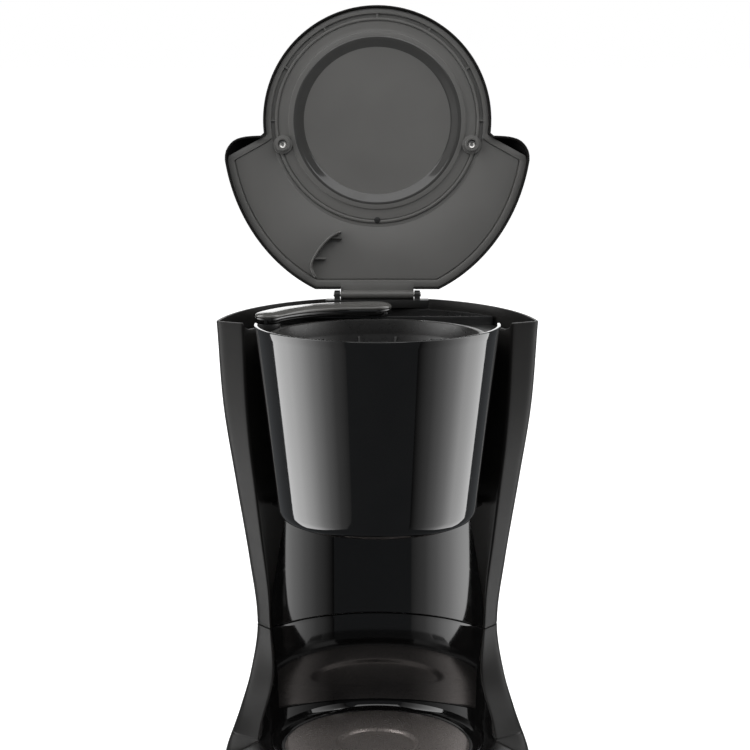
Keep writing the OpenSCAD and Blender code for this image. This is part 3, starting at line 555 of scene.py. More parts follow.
def bay_part():
    """The concave wall behind the jug, above the seam."""
    rows = []
    for z in [SEAM_Z + 0.25] + [SEAM_Z + 0.8 + (192.8 - SEAM_Z) * i / 40 for i in range(41)]:
        lim = math.asin(knot(BAY_EDGE, z) / BAY_R)
        lim2 = math.asin(knot(BAY_EDGE, z) / (BAY_R + WALL))
        lip = 0.35 if z < SEAM_Z + 0.5 else 0.0
        near, far = BAY_R + lip, BAY_R + WALL
        row = [(near * math.sin(a), BAY_Y + near * math.cos(a), z)
               for a in [-lim + 2 * lim * i / 96 for i in range(97)]]
        row += [(far * math.sin(a), BAY_Y + far * math.cos(a), z)
                for a in [lim2 - 2 * lim2 * i / 96 for i in range(97)]]
        rows.append(row)
    return grid(rows, ring=True, ends="fill")


def ring_out(angle, line):
    """Distance from the brew axis to a polyline along a direction."""
    d = (math.cos(angle), math.sin(angle))
    best = None
    for p, q in zip(line, line[1:]):
        e = (q[0] - p[0], q[1] - p[1])
        den = d[0] * e[1] - d[1] * e[0]
        if abs(den) < 1e-12:
            continue
        r = (p[0] * e[1] - p[1] * e[0]) / den
        s = (p[0] * d[1] - p[1] * d[0]) / den
        if r > 0 and -1e-9 <= s <= 1 + 1e-9:
            best = r if best is None else max(best, r)
    return best


ceiling_line = [(62, 18), (70, 33), (58.4, 50), (30, 70), (0, 73.5), (-30, 70), (-58.4, 50), (-70, 33),
                (-62, 18)]
ceiling = []
for i in range(81):
    a = math.radians(18 + 144 * i / 80)
    r = max(ring_out(a, ceiling_line), 66.2)
    ceiling.append([(65.8 * math.cos(a), 65.8 * math.sin(a), 191), (r * math.cos(a), r * math.sin(a), 191),
                    (r * math.cos(a), r * math.sin(a), 193), (65.8 * math.cos(a), 65.8 * math.sin(a), 193)])
ob = make("bay_wall", [bay_part(), grid(ceiling, ring=True, ends="fill")], angle=30)
finish(ob, M_GLOSS, "root", "gloss_shell", "bay_panel")


# ------------------------ drum
def drum_part():
    """The drum: its rounded foot, its cone, its rim, which dips at the back, and its inside."""
    def rad(z):
        return DRUM_FOOT_R + (DRUM_R - DRUM_FOOT_R) * (z - DRUM_FOOT_Z - 8) / (DRUM_TOP - DRUM_FOOT_Z - 8)

    foot = [(54.2, 191.4), (54.5, 191.0), (56, 191), (57.4, 191.15), (59.5, 191.9), (61.2, 193),
            (62.6, 194.5), (63.5, 196.3), (64.0, 198)]
    inner_foot = [(61.8, 200), (61, 197.4), (58.2, 194.6), (56, 193.6), (54.5, 193.45), (54.2, 193.2)]
    n, rows = 256, []
    cols = [2 * math.pi * (i + 0.5) / n for i in range(n)]
    for r, z in foot:
        rows.append([(r * math.cos(a), r * math.sin(a), z) for a in cols])
    steps = [(k / 26, 0.0, 0.0) for k in range(27)]
    steps += [(1.0, 0.12, 0.35), (1.0, 0.45, 0.62), (1.0, 1.0, 0.7), (1.0, 1.6, 0.68), (1.0, 2.1, 0.45),
              (1.0, 2.35, 0.0), (1.0, 2.4, -0.8)]
    steps += [(k / 8, 2.4, -0.8) for k in range(7, 0, -1)]
    for k, inn, up in steps:
        row = []
        for a in cols:
            y = DRUM_R * math.sin(a)
            top = mix(DRUM_TOP - 0.7, 306.0, smooth((y - 1.0) / 7.0))
            z = 199 + (top - 199) * k
            r = rad(z) - inn
            row.append((r * math.cos(a), r * math.sin(a), z + up))
        rows.append(row)
    for r, z in inner_foot:
        rows.append([(r * math.cos(a), r * math.sin(a), z) for a in cols])
    return grid(rows, ring=True, ends="join")


arc_in = [(75.4 * math.cos(math.radians(a)), 75.4 * math.sin(math.radians(a)))
          for a in [154.7 - 129.4 * i / 60 for i in range(61)]]
deck_half = [(72, 34), (77, 42), (92, 50), (80, 76), (75, 78.4)]
deck_line = deck_half + [(-x, y) for x, y in reversed(deck_half)]
deck = make("drum_deck", [prism(deck_line + arc_in, 303, 305.5)], bevel=0.3)
riser_hole = turned([(0, 300), (5.6, 300), (5.6, 310), (0, 310)], 48, centre=(-72, 42), closed=False)
cut(deck, [make("riser_hole", [riser_hole])])
finish(deck, M_INNER, "root", "inner_black")
drum = make("drum", [drum_part()], angle=50)
finish(drum, M_GLOSS, "root", "gloss_shell", "filter_housing")
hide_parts("filter_housing")


# ------------------------ basket and drip stop
basket_profile = soften([(7.1, 212), (44, 212), (66, 301), (67, 308.6), (69.5, 308.6), (69.5, 311),
                         (65.4, 311), (64.2, 301.4), (42.6, 214), (7.1, 214)], 0.7)
spout_profile = soften([(7.1, 203), (11, 203), (11, 212.5), (7.1, 212.5)], 0.5)
parts = [turned(basket_profile, 192), turned(spout_profile, 72)]
for i in range(16):
    a = math.radians(22.5 * i + 11.25)
    rib = [(42.9, 213.5), (64.3, 299), (62.9, 300), (62.4, 299), (40.4, 213.5)]
    pts = [(r * math.cos(a) - s * math.sin(a), r * math.sin(a) + s * math.cos(a), z)
           for s in (-0.7, 0.7) for r, z in rib]
    sides = [(j, (j + 1) % 5, 5 + (j + 1) % 5, 5 + j) for j in range(5)]
    parts.append((pts, [(0, 1, 2, 3, 4), (5, 6, 7, 8, 9)] + sides))
for i in range(4):
    rows = []
    for j in range(13):
        a = math.radians(90 * i + 12 + 66 * j / 12)
        wall = ((38, 193.7), (40, 193.7), (40, 213), (38, 213))
        rows.append([(r * math.cos(a), r * math.sin(a), z) for r, z in wall])
    parts.append(grid(rows, ring=True, ends="fill"))
ob = make("filter_basket_ribbed", parts, angle=30)
finish(ob, M_BASKET, "basket", "basket_plastic", "filter_basket")
polish("drum_floor", M_GLOSS, "root", "gloss_shell", bevel=0.3)
polish("drip_stop_plunger", M_BASKET, "plunger", "basket_plastic")
polish("drip_stop_seal", M_SILICONE, "plunger", "silicone", bevel=0.1)


def tube(route, r, bore=0.0, sides=16):
    """Round tube along a route of 3-D points."""
    pts = [Vector(p) for p in route]
    n = len(pts)
    outer, inner = [], []
    for i in range(n):
        t = (pts[min(i + 1, n - 1)] - pts[max(i - 1, 0)]).normalized()
        u = Vector((1, 0.2, 0)).cross(t).normalized()
        v = u.cross(t)
        turns = [2 * math.pi * s / sides for s in range(sides)]
        ring = [u * math.cos(a) + v * math.sin(a) for a in turns]
        outer.append([tuple(pts[i] + d * r) for d in ring])
        inner.append([tuple(pts[i] + d * bore) for d in ring])
    if not bore:
        return grid(outer, ring=True, ends="fill")
    return grid(outer + inner[::-1], ring=True, ends="join")


def spline(p, steps):
    """Smooth curve through the points p, with steps pieces between each two."""
    out, n = [], len(p)
    for i in range(n - 1):
        a, b, c, d = p[max(i - 1, 0)], p[i], p[i + 1], p[min(i + 2, n - 1)]
        for s in range(steps):
            t = s / steps
            out.append(tuple(0.5 * (2 * b[k] + (c[k] - a[k]) * t
                                    + (2 * a[k] - 5 * b[k] + 4 * c[k] - d[k]) * t * t
                                    + (3 * b[k] - a[k] - 3 * c[k] + d[k]) * t**3) for k in range(3)))
    return out + [p[-1]]


COIL_R, COIL_WIRE_R, COIL_Z, COIL_TALL, COIL_STEPS = 7.9, 0.55, 190.9, 11.4, 144
coil = []
for i in range(COIL_STEPS + 1):
    a = math.radians(i * 10)
    coil.append(Vector((COIL_R * math.cos(a), COIL_R * math.sin(a), COIL_Z + COIL_TALL * i / COIL_STEPS)))
rows = []
for i, p in enumerate(coil):
    t = (coil[min(i + 1, COIL_STEPS)] - coil[max(i - 1, 0)]).normalized()
    u = Vector((p.x, p.y, 0)).normalized()
    v = t.cross(u)
    turns = [2 * math.pi * s / 10 for s in range(10)]
    rows.append([tuple(p + (u * math.cos(a) + v * math.sin(a)) * COIL_WIRE_R) for a in turns])
ob = make("drip_spring", [grid(rows, ring=True, ends="fill")], angle=60)
finish(ob, M_STEEL, "basket", "steel", "drip_stop_spring")
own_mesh(ob)


# ------------------------ hotplate
plate_profile = [(0, 33.9), (23.8, 33.9), (25.9, 36.2), (59.4, 36.2), (59.4, 33.4), (60.9, 33.4),
                 (60.9, 36.6), (60.6, 37.3), (59.9, 37.7), (59.0, 37.8), (28.4, 37.8), (27.4, 37.65),
                 (26.6, 37.2), (25.4, 36.1), (24.8, 35.65), (23.9, 35.5), (0, 35.5)]
ob = make("hotplate_disc", [turned(plate_profile, 192)], angle=40)
finish(ob, M_PLATE, "root", "hotplate_coat", "hotplate")
gasket_profile = [(60.9, 33), (63.2, 33), (63.2, 36.1), (62.4, 36.8), (60.9, 36.3)]
ob = make("hotplate_gasket", [turned(soften(gasket_profile, 0.3), 160)])
finish(ob, M_RUBBER, "root", "rubber", "hotplate_seal")
surround_profile = [(63.2, 34), (66.2, 34), (67.6, 36.4), (72.6, 36.4), (72.6, 38.32), (70.0, 38.32),
                    (70.0, 41.0), (69.85, 41.3), (69.6, 41.4), (69.3, 41.4), (69.05, 41.3), (68.9, 41.0),
                    (68.3, 39.4), (67.4, 38.0), (66.2, 37.0), (64.8, 36.4), (63.2, 36.2)]
ob = make("plate_surround", [turned(surround_profile, 192)], angle=40)
finish(ob, M_GLOSS, "root", "gloss_shell", "hotplate_surround")

# ------------------------ water arm
ARM, ARM_END, ARM_BEND = (-72.0, 42.0), (-2.0, 87.0), (-52.0, 84.0)


def arm_loop(t, n=34, m=12):
    """The arm's outline in plan, set in by t: a side, the wide end, the other side, the post's end."""
    def mid(u):
        return tuple((1 - u) ** 2 * ARM[k] + 2 * u * (1 - u) * ARM_BEND[k] + u * u * ARM_END[k]
                     for k in (0, 1))

    def way(u):
        return unit2(tuple(2 * (1 - u) * (ARM_BEND[k] - ARM[k]) + 2 * u * (ARM_END[k] - ARM_BEND[k])
                           for k in (0, 1)))

    def half(u):
        return 8.6 + 3.2 * u**0.8 - t

    def side(u, s):
        w, p = way(u), mid(u)
        return (p[0] + s * half(u) * w[1], p[1] - s * half(u) * w[0])

    def end(u, p, s):
        w = way(u)
        turns = [math.pi * i / m for i in range(1, m)]
        return [(p[0] + s * half(u) * (math.sin(a) * w[0] + math.cos(a) * w[1]),
                 p[1] + s * half(u) * (math.sin(a) * w[1] - math.cos(a) * w[0])) for a in turns]

    there = [side(i / n, 1) for i in range(n + 1)]
    back = [side(i / n, -1) for i in range(n, -1, -1)]
    return there + end(1, ARM_END, 1) + back + end(0, ARM, -1)


def layers(steps):
    """Solid from (inset, height) steps of the arm's outline."""
    return grid([[(*p, z) for p in arm_loop(t)] for t, z in steps], ring=True, ends="fill")


arm_steps = [(0.5, 312.4), (0.12, 312.55), (0.0, 312.9), (0.0, 315.7), (0.12, 316.0), (0.35, 316.1)]
sleeve = soften([(3, 306.6), (4.44, 306.6), (4.44, 313), (3, 313)], 0.3)
ob = make("arm_body", [layers(arm_steps), turned(sleeve, 48, centre=ARM)], angle=40)
finish(ob, M_GLOSS, "arm", "inner_black", "spray_arm")
cover_steps = [(0.45, 316.15), (0.1, 316.3), (0.0, 316.55), (0.0, 317.0), (0.15, 317.5), (0.55, 318.1),
               (1.2, 318.6), (2.1, 319.0), (3.3, 319.3), (4.8, 319.5), (6.4, 319.58), (8.0, 319.6)]
ob = make("arm_cover", [layers(cover_steps)], angle=45)
finish(ob, M_ARM, "arm", "arm_grey", "spray_arm_cover")
polish("spray_nozzle", M_INNER, "arm", "inner_black", bevel=0.2)
polish("arm_post", M_INNER, "root", "inner_black", bevel=0.3)

# ------------------------ lid
BACK_U0, BACK_U1 = math.asin((28 - LID_Y) / LID_B), math.asin((LID_CUT - LID_Y) / LID_B)
FRONT = [(LID_R * math.cos(u), LID_R * math.sin(u))
         for u in [math.radians(-90 + 96.4 * i / 72) for i in range(73)]]
BACK = [(LID_A * math.cos(u), LID_Y + LID_B * math.sin(u))
        for u in [BACK_U0 + (BACK_U1 - BACK_U0) * i / 48 for i in range(49)]]
EARS = [(81.2, 10.9), (84, 11.0), (88, 11.2), (92, 11.6), (95.2, 12.3), (98, 13.2), (100.6, 14.7),
        (102.6, 16.6), (104.3, 18.9), (105.6, 21.5), (106.3, 24.6)]
WING = [(83, 11.3), (105.4, 23.6)]


def lid_outline(wing):
    """Whole outline of the lid: the round front, the given corner on each side and the elliptical back."""
    half = FRONT[1:] + wing + BACK
    return [FRONT[0]] + half + [(-x, y) for x, y in reversed(half)]


def polar(loop, t, angles):
    """Radius of an inset outline in each direction."""
    inner = inset(loop, t)
    line = inner + [inner[0]]
    return [ring_out(a, line) or 1.0 for a in angles]


plate_loop = lid_outline(WING)
corner = []
for x, y in inset(lid_outline(WING), 1.7)[72:78] + inset(lid_outline(WING), 6.2)[72:78]:
    corner += [math.atan2(y, x), math.atan2(y, -x)]
hinge_cut = math.atan2(LID_CUT - 1.7, 42.8)
corner += [hinge_cut, math.pi - hinge_cut]
# One direction a degree, and one through each corner of the outline.
angles = sorted(set(round(a, 5) for a in [math.radians(-179.5 + i) for i in range(360)] + corner))
angles = [a for i, a in enumerate(angles) if i == 0 or a - angles[i - 1] > 0.0015]
edge_out, edge_in, edge_rib = [polar(plate_loop, t, angles) for t in (1.7, 2.1, 6.2)]
PANEL_Z = 321.5  # the flat face of the lid's panel, with the lid closed


def lift(profile):
    """A profile whose heights were counted from the panel's face."""
    return [(r, PANEL_Z + z) for r, z in profile]


def lid_row(fn):
    """A row around the lid. fn gives the radius and the height in each direction."""
    row = [fn(i) for i in range(len(angles))]
    return [(r * math.cos(a), r * math.sin(a), z) for (r, z), a in zip(row, angles)]


# Disc, its bevel, the groove round it and the ring, from the middle outwards.
circle = lift([(0.001, 1.0), (20, 1.0), (40, 1.0), (51.2, 1.0), (52.0, 0.94), (52.8, 0.72), (56.2, -0.62),
               (57.0, -0.86), (57.8, -0.9), (61.3, -0.9), (61.8, -0.82), (62.05, -0.55), (62.2, -0.1),
               (62.6, 0), (65, 0), (68.9, 0), (69.05, 0.35), (69.5, 0.4), (69.7, -0.4), (69.85, -0.8),
               (70.1, -0.9), (71.1, -0.9), (71.35, -0.8), (71.5, -0.45)])
rows = [lid_row(lambda i, r=r, z=z: (r, z)) for r, z in circle]


def channel(i):
    """1 around the front, where the channel is deep, and 0 behind the screw bosses."""
    return smooth((0.27 - math.sin(angles[i])) / 0.04)


for r, back, front in ((71.65, 0.4, 0.7), (71.9, 0.5, 1.0), (72.3, 0.5, 1.0), (72.5, 0, 1.0), (74.2, 0, 1.0)):
    rows.append(lid_row(lambda i, r=r, a=PANEL_Z + back, b=PANEL_Z + front: (r, mix(a, b, channel(i)))))


def field_w(i):
    """1 where the outline leaves room for a field outside the channel, and 0 around the round front."""
    return smooth((edge_rib[i] - 74.9) / 3.0)


FLOOR = PANEL_Z - 0.9
rows.append(lid_row(lambda i: (74.35, mix(PANEL_Z - 0.8, PANEL_Z + 0.1, field_w(i)))))
rows.append(lid_row(lambda i: (74.6, mix(FLOOR, PANEL_Z, field_w(i)))))
rib = lift([(-1.3, 0), (-1.15, 0.6), (-0.55, 0.7), (-0.35, 0.2), (-0.2, -0.5), (0.0, -0.8)])
for (off, z), low in zip(rib, (74.7, 74.75, 74.8, 74.85, 74.9, 75.0)):
    rows.append(lid_row(lambda i, off=off, low=low, z=z: (max(edge_rib[i] + off, low),
                                                          mix(FLOOR, z, field_w(i)))))
rows.append(lid_row(lambda i: (max(edge_rib[i] + 0.3, 75.2), FLOOR)))
rows.append(lid_row(lambda i: (edge_in[i], FLOOR)))
rows.append(lid_row(lambda i: (mix(edge_in[i], edge_out[i], 0.7), PANEL_Z - 0.78)))
rows.append(lid_row(lambda i: (edge_out[i], PANEL_Z - 0.5)))
rows.append(lid_row(lambda i: (edge_out[i], PANEL_Z + 2.0)))
rows.append(lid_row(lambda i: (0.001, PANEL_Z + 2.0)))
parts = [grid(rows, ring=True, ends="none")]
BOSS = (66.0, 17.0)
boss = soften(lift([(3.1, -5), (4.7, -5), (4.7, -2), (6.5, -2), (6.5, 1), (1.9, 1), (1.9, -2), (3.1, -2)]),
                    0.28)
for s in (-1, 1):
    parts.append(turned(boss, 48, centre=(s * BOSS[0], BOSS[1])))
for a in range(-90, 91, 30):
    parts.append(box(71.4, 74.6, -0.6, 0.6, PANEL_Z - 0.5, PANEL_Z + 1.0, spin=a - 90))
# The curved blade that pushes the water arm, with its two braces.
fin = [(-25.7, 77.6), (-33, 82), (-39.4, 88.6), (-44.4, 96.4), (-46.2, 102.6), (-43.4, 109.6)]
flat = spline([(x, y, 0) for x, y in fin], 6)
rows = []
for i, p in enumerate(flat):
    q, r = flat[max(i - 1, 0)], flat[min(i + 1, len(flat) - 1)]
    d = unit2((r[0] - q[0], r[1] - q[1]))
    nx, ny = -d[1], d[0]
    u = i / (len(flat) - 1)
    low = 312.8 + 5.0 * u**1.3 + (2.2 * (1 - u * 8) ** 2 if u < 0.125 else 0)
    section = [(-0.9, PANEL_Z + 0.6), (-0.75, low + 0.5), (-0.4, low + 0.08), (0.0, low), (0.4, low + 0.08),
               (0.75, low + 0.5), (0.9, PANEL_Z + 0.6)]
    rows.append([(p[0] + nx * w, p[1] + ny * w, z) for w, z in section])
parts.append(grid(rows, ring=True, ends="fill"))
parts += [box(-33, -24.5, 81.4, 82.6, 317, PANEL_Z + 0.6), box(-44.4, -35.9, 95.8, 97.0, 317, PANEL_Z + 0.6)]
ob = make("lid_underside", parts, put=open_lid, angle=30)
finish(ob, M_LID, "lid", "lid_grey", "lid_panel")
pts, faces = turned(soften([(1.56, -25.6), (2.9, -25.6), (2.9, 25.6), (1.56, 25.6)], 0.3), 64)
barrel = ([(z, HINGE_Y + y, HINGE_Z + x) for x, y, z in pts], faces)
neck = box(-25.5, 25.5, 113.5, HINGE_Y - 1.7, PANEL_Z - 0.98, PANEL_Z + 1.95)
ob = make("lid_barrel", [barrel, neck], put=open_lid, bevel=0.12, angle=40)
finish(ob, M_LID, "lid", "lid_grey")
bevel_ring = lift([(51.3, 1.2), (51.3, 0.96), (51.9, 0.86), (52.7, 0.6), (56.1, -0.74), (57.0, -0.99),
                   (57.9, -1.05), (58.5, -1.02), (58.75, -0.9), (58.75, -0.4)])
ob = make("lid_disc_bevel", [turned(bevel_ring, 256)], put=open_lid, angle=50)
finish(ob, M_BEVEL, "lid", "lid_grey")
notch = lift([(0, -0.96), (2.0, -0.96), (2.2, -0.9), (2.2, 0.3), (0, 0.3)])
ob = make("lid_notch", [turned(notch, 40, centre=(0, 69.6), closed=False)], put=open_lid)
finish(ob, M_INNER, "lid", "inner_black")
screw = lift([(0, -2.6), (0.9, -2.6), (1.0, -3.0), (1.5, -3.45), (2.4, -3.6), (2.9, -3.3), (3.0, -2.9),
              (3.0, -2.0), (1.85, -2.0), (1.85, 4.4), (0, 4.4)])
for s, side in ((-1, "left"), (1, "right")):
    ob = make("lid_screw_" + side, [turned(screw, 40, centre=(s * BOSS[0], BOSS[1]))], put=open_lid, angle=35)
    finish(ob, M_STEEL, "lid", "steel", "lid_screws")

# The lid's outer shell: scale of the outline against height, from the skirt up to the middle of the dome.
DOME = [(1, 322.6), (0.985, 325.4), (0.955, 327.9), (0.9, 330), (0.8, 331.6), (0.62, 332.7), (0.3, 333.3)]
ears_loop = lid_outline(EARS)


def dome_row(s, z):
    return [(x * s, mix(30, y, s), z) for x, y in ears_loop]


def fine_dome(first, drop, shrink):
    """The dome's profile, smoothed between its stated levels."""
    out = []
    for a, b in zip(DOME[first:], DOME[first + 1:]):
        for i in range(4):
            out.append((mix(a[0], b[0], i / 4) - shrink, mix(a[1], b[1], i / 4) - drop))
    return out + [(DOME[-1][0] - shrink, DOME[-1][1] - drop)]


def skirt(t, up=0.4):
    """The outline set in by t, a little above the drum's rim in front and the housing's rim behind."""
    loop = inset(ears_loop, t) if t else ears_loop
    return [(x, y, (318.0 if y < 10 else rim_z(y)) + up) for x, y in loop]


rows = [dome_row(s, z) for s, z in reversed(fine_dome(2, 1.8, 0.014))]
rows.append([(*p, 323.8) for p in inset(ears_loop, 1.5)])
rows += [skirt(1.5, 0.6), skirt(1.2, 0.42), skirt(0.8, 0.4), skirt(0.35, 0.44), skirt(0.08, 0.7)]
rows.append([(x, y, 321.4) for x, y in ears_loop])
rows.append([(x, y, 322.2) for x, y in inset(ears_loop, 0.03)])
rows += [dome_row(s, z) for s, z in [(0.9975, 323.4), (0.9925, 324.5)] + fine_dome(1, 0, 0)]
ob = make("lid_shell", [grid(rows, ring=True, ends="fill")], put=open_lid, angle=42)
cut(ob, [make("way_out", [box(-26, 26, 114.8, 120, 316, 323.65)], put=open_lid)])
finish(ob, M_HOUSING, "lid", "housing", "lid_cover")
polish("hinge_bracket", M_INNER, "root", "inner_black", bevel=0.25)
polish("hinge_pins", M_STEEL, "root", "steel", bevel=0.15)
# A trough under the barrel, and a strip that fills the slot behind the bracket.
cradle = [(HINGE_Y + r * math.cos(math.radians(d)), HINGE_Z + r * math.sin(math.radians(d)))
          for r, d in [(3.15, -100 + 8 * i) for i in range(11)] + [(4.0, -20), (4.0, -36)]]
cradle += [(HINGE_Y + 4.0, 317.0), (cradle[0][0], 317.0)]
n = len(cradle)
ends = [tuple(range(n)), tuple(range(2 * n - 1, n - 1, -1))]
trough = ([(x, y, z) for x in (-25.5, 25.5) for y, z in cradle],
          ends + [(i, (i + 1) % n, n + (i + 1) % n, n + i) for i in range(n)])
strip = box(-36.8, 36.8, HINGE_Y + 1.0, HINGE_Y + 4.4, 312.2, 317.1)
ob = make("hinge_cradle", [trough, strip])
finish(ob, M_INNER, "root", "inner_black")


# ------------------------ tank
def tank_row(z, t, front_y, zz=None):
    """Closed row of the tank: the housing's back set in by t, and a flat front with rounded corners."""
    b, c = knot(BACK_B, z), (knot(CREASE_X, z), knot(CREASE_Y, z))
    a = c[0] / math.sqrt(1 - ((c[1] - PLAN_Y) / b) ** 2)
    u0 = math.asin((front_y + 2 - PLAN_Y) / (b - t))
    us = [u0 + (math.pi - 2 * u0) * i / 72 for i in range(73)]
    arc = [((a - t) * math.cos(u), PLAN_Y + (b - t) * math.sin(u)) for u in us]
    h = z if zz is None else zz
    corner = bezier((arc[-1][0], arc[-1][1]), (arc[-1][0], front_y), (arc[-1][0] + 3, front_y), 5)[1:]
    front = [(mix(corner[-1][0], -corner[-1][0], i / 24), front_y) for i in range(1, 24)]
    return [(*p, h) for p in arc + corner + front + [(-x, y) for x, y in reversed(corner)]]


tank_z = [128.8 + (310.2 - 128.8) * i / 30 for i in range(31)]
rows = [tank_row(128, 4.2, 80.0), tank_row(128.2, 3.5, 79.3)] + [tank_row(z, 3.2, TANK_Y) for z in tank_z]
rows += [tank_row(310.8, 3.3, 79.1, 310.9), tank_row(311, 3.7, 79.5, 311.2)]
rows += [tank_row(311, 4.6, 80.4, 311.2), tank_row(311, 5.1, 80.9, 310.9)]
rows += [tank_row(z, 5.2, 81.0) for z in reversed(tank_z[2::3])]
rows += [tank_row(131, 5.4, 81.2, 130.5), tank_row(131, 6.5, 82.3, 130.0)]
VALVE = (30, 98)
outlet = soften([(5, 120), (8, 120), (8, 128.5), (5, 128.5)], 0.5)
ob = make("tank_shell", [grid(rows, ring=True, ends="fill"), turned(outlet, 64, centre=VALVE)], angle=40)
finish(ob, M_TANK, "root", "tank_plastic", "water_tank")
polish("tank_strainer", M_WHITE, "root", "white_plastic", bevel=0.2)
polish("check_valve_body", M_WHITE, "root", "white_plastic", bevel=0.25)
BALL_R, BALL_Z = 3.6, 109.95
ball = [(BALL_R * math.sin(math.pi * i / 24), BALL_Z - BALL_R * math.cos(math.pi * i / 24))
        for i in range(25)]
ob = make("valve_ball", [turned(ball, 40, centre=VALVE, closed=False)])
finish(ob, M_RED, "valve_ball", "silicone_red", "check_valve_ball")
PIPE_Z = 23.0  # height of the water channel's two ends
HOSE_R, HOSE_BORE = 6, 4.7
way_in = [(30, 98, 104), (30, 98, 96), (30, 97.6, 84), (31.5, 94, 60), (36, 85, 37), (40, 74, 26),
          (40, 66, PIPE_Z), (40, 60, PIPE_Z), (40, 49, PIPE_Z)]
ob = make("hose_in", [tube(spline(way_in, 6), HOSE_R, HOSE_BORE, 24)], angle=60)
finish(ob, M_SILICONE, "root", "silicone", "inlet_hose")
way_up = [(-40, 49, PIPE_Z), (-40, 60, PIPE_Z), (-40, 66, PIPE_Z + 0.2), (-42, 72, 29), (-50, 75, 44),
          (-60, 72, 70), (-61, 71, 104), (-61, 71, 150), (-68, 62, 200), (-75, 53, 240), (-73, 46.5, 262),
          (-72, 42.5, 274), (-72, 42, 282), (-72, 42, 291), (-72, 42, 300)]
ob = make("hose_up", [tube(spline(way_up, 5), HOSE_R, HOSE_BORE, 24)], angle=60)
finish(ob, M_SILICONE, "root", "silicone", "riser_hose")

# ------------------------ base fittings, from the CAD's own solids with softened edges
fittings = [
    ("base_plate", M_INNER, "inner_black", 0.4), ("rubber_feet", M_RUBBER, "rubber", 0.8),
    ("heating_element", M_ALU, "aluminium", 0.0), ("water_channel", M_ALU, "aluminium", 0.0),
    ("element_clamp", M_ALU, "aluminium", 0.3), ("thermostat", M_CERAMIC, "white_ceramic", 0.3),
    ("thermal_fuse", M_CERAMIC, "white_ceramic", 0.15), ("hose_clips", M_STEEL, "steel", 0.15),
    ("switch_bezel", M_INNER, "inner_black", 0.5), ("terminal_block", M_WHITE, "white_plastic", 0.4),
    ("cord_gland", M_RUBBER, "rubber", 0.6), ("base_screws", M_STEEL, "steel", 0.25),
]
for name, mat, slot_name, round_off in fittings:
    polish(name, mat, "root", slot_name, bevel=round_off)
polish("switch_rocker", M_GLOSS, "rocker", "inner_black", bevel=0.5)
lens = [(0, -103.0), (1.2, -102.95), (2.1, -102.5), (2.48, -101.8), (2.48, -94), (0, -94)]
ob = make("lamp_dome", [turned(lens, 32, closed=False)], put=lambda p: place((14 + p[0], p[2], 17 + p[1])),
          angle=50)
finish(ob, M_LAMP, "root", "lamp_lens", "indicator_lamp")

# ------------------------ studio
scene = bpy.context.scene
scene.view_settings.view_transform = "Standard"
world = bpy.data.worlds.new("studio")
scene.world = world
world.use_nodes = True
wt = world.node_tree
wt.nodes.clear()
w_out = wt.nodes.new("ShaderNodeOutputWorld")
w_mix = wt.nodes.new("ShaderNodeMixShader")
w_path = wt.nodes.new("ShaderNodeLightPath")
w_dim, w_white = wt.nodes.new("ShaderNodeBackground"), wt.nodes.new("ShaderNodeBackground")
w_dim.inputs[0].default_value = (0.9, 0.95, 1.0, 1)
w_dim.inputs[1].default_value = 0.11
w_white.inputs[0].default_value = (1, 1, 1, 1)
w_white.inputs[1].default_value = 1.0
wt.links.new(w_path.outputs["Is Camera Ray"], w_mix.inputs[0])
wt.links.new(w_dim.outputs[0], w_mix.inputs[1])
wt.links.new(w_white.outputs[0], w_mix.inputs[2])
wt.links.new(w_mix.outputs[0], w_out.inputs[0])


def panel(name, corners, strength, stops):
    """A softbox: a glowing sheet that the camera doesn't see, with its brightness given along it."""
    mesh = bpy.data.meshes.new(name)
    mesh.from_pydata([Vector(c) for c in corners], [], [(0, 1, 2, 3)])
    uv = mesh.uv_layers.new(name="UVMap")
    for i, c in enumerate(((0, 0), (1, 0), (1, 1), (0, 1))):
        uv.data[i].uv = c
    obj = bpy.data.objects.new(name, mesh)
    scene.collection.objects.link(obj)
    mat = bpy.data.materials.new(name)
    mat.use_nodes = True
    t = mat.node_tree
    t.nodes.clear()
    o, e = t.nodes.new("ShaderNodeOutputMaterial"), t.nodes.new("ShaderNodeEmission")
    m, s = t.nodes.new("ShaderNodeTexCoord"), t.nodes.new("ShaderNodeSeparateXYZ")
    r = t.nodes.new("ShaderNodeValToRGB")
    k = t.nodes.new("ShaderNodeMath")
    k.operation = "MULTIPLY"
    k.inputs[1].default_value = strength
    while len(r.color_ramp.elements) < len(stops):
        r.color_ramp.elements.new(0.5)
    for el, (pos, v) in zip(r.color_ramp.elements, stops):
        el.position, el.color = pos, (v, v, v, 1)
    t.links.new(m.outputs["UV"], s.inputs[0])
    t.links.new(s.outputs[0], r.inputs[0])
    t.links.new(r.outputs[0], k.inputs[0])
    t.links.new(k.outputs[0], e.inputs["Strength"])
    t.links.new(e.outputs[0], o.inputs[0])
    obj.data.materials.append(mat)
    obj.visible_camera = False
    obj.visible_shadow = False
    return obj


AXIS_Y = BREW_Y / 1000  # the brew axis, in metres


def side_panel(name, x, near, far, strength, stops):
    """A vertical softbox beside the object, from one bearing to another, counted from the camera's side."""
    y0, y1 = [AXIS_Y - abs(x) / math.tan(math.radians(bearing)) for bearing in (near, far)]
    return panel(name, [(x, y0, -0.75), (x, y1, -0.75), (x, y1, 2.0), (x, y0, 2.0)], strength, stops)


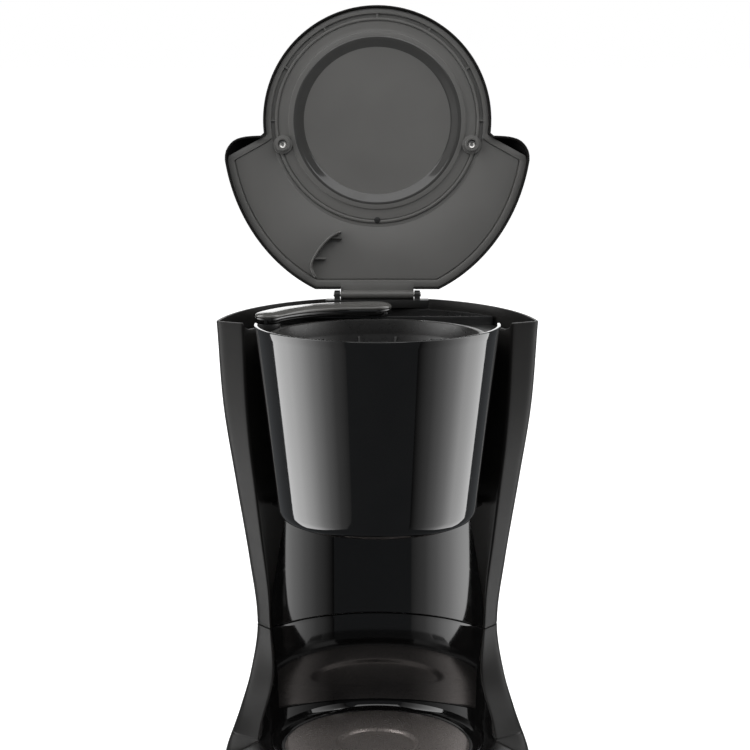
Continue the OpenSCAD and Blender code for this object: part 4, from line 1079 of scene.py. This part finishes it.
side_panel("softbox_left", -0.95, 29.5, 113, 3.95,
           [(0.0, 0.045), (0.3, 0.12), (0.46, 0.267), (0.594, 0.5), (0.7, 0.79), (0.815, 0.98), (1.0, 0.9)])
side_panel("softbox_right", 0.95, 38, 122, 2.75,
           [(0.0, 0.0), (0.125, 0.07), (0.297, 0.167), (0.438, 0.34), (0.565, 0.587), (0.69, 0.97),
            (1.0, 0.97)])
back_corners = [(-0.75, 1.9, -0.6), (0.75, 1.9, -0.6), (0.75, 1.9, 1.5), (-0.75, 1.9, 1.5)]
panel("softbox_back", back_corners, 1.7, [(0.0, 1.0), (1.0, 1.0)])
high_corners = [(0.1, -0.75, 1.25), (0.75, -0.35, 1.05), (0.75, 0.0, 1.5), (0.1, -0.4, 1.7)]
panel("softbox_high", high_corners, 2.6, [(0.0, 0.55), (1.0, 1.0)])
key_light = bpy.data.lights.new("overhead", "AREA")
key_light.shape, key_light.size, key_light.size_y, key_light.energy = "RECTANGLE", 1.4, 1.0, 7
key_obj = bpy.data.objects.new("overhead", key_light)
key_obj.location = (0.0, -1.15, 1.55)
key_obj.rotation_euler = (Vector((0, 0, 0.3)) - key_obj.location).to_track_quat("-Z", "Y").to_euler()
scene.collection.objects.link(key_obj)

floor = bpy.data.meshes.new("floor")
floor.from_pydata([(-30, -3, 0), (30, -3, 0), (30, 60, 0), (-30, 60, 0)], [], [(0, 1, 2, 3)])
floor_obj = bpy.data.objects.new("floor", floor)
scene.collection.objects.link(floor_obj)
fm = bpy.data.materials.new("floor")
fm.use_nodes = True
fb = fm.node_tree.nodes["Principled BSDF"]
fb.inputs["Base Color"].default_value = (0.5, 0.5, 0.5, 1)
fb.inputs["Roughness"].default_value = 0.7
fb.inputs["Emission Color"].default_value = (1, 1, 1, 1)
fb.inputs["Emission Strength"].default_value = 0.97
floor.materials.append(fm)
floor_obj.visible_glossy = False
floor_obj.visible_diffuse = False

cam = bpy.data.cameras.new("camera")
cam.lens, cam.sensor_width, cam.sensor_fit = 88.75, 36.0, "HORIZONTAL"
cam_obj = bpy.data.objects.new("camera", cam)
cam_obj.location = (-0.00154, -1.165 + AXIS_Y, 0.487)
cam_obj.rotation_euler = (math.radians(90 - 9.86), 0, 0)
scene.collection.objects.link(cam_obj)
scene.camera = cam_obj
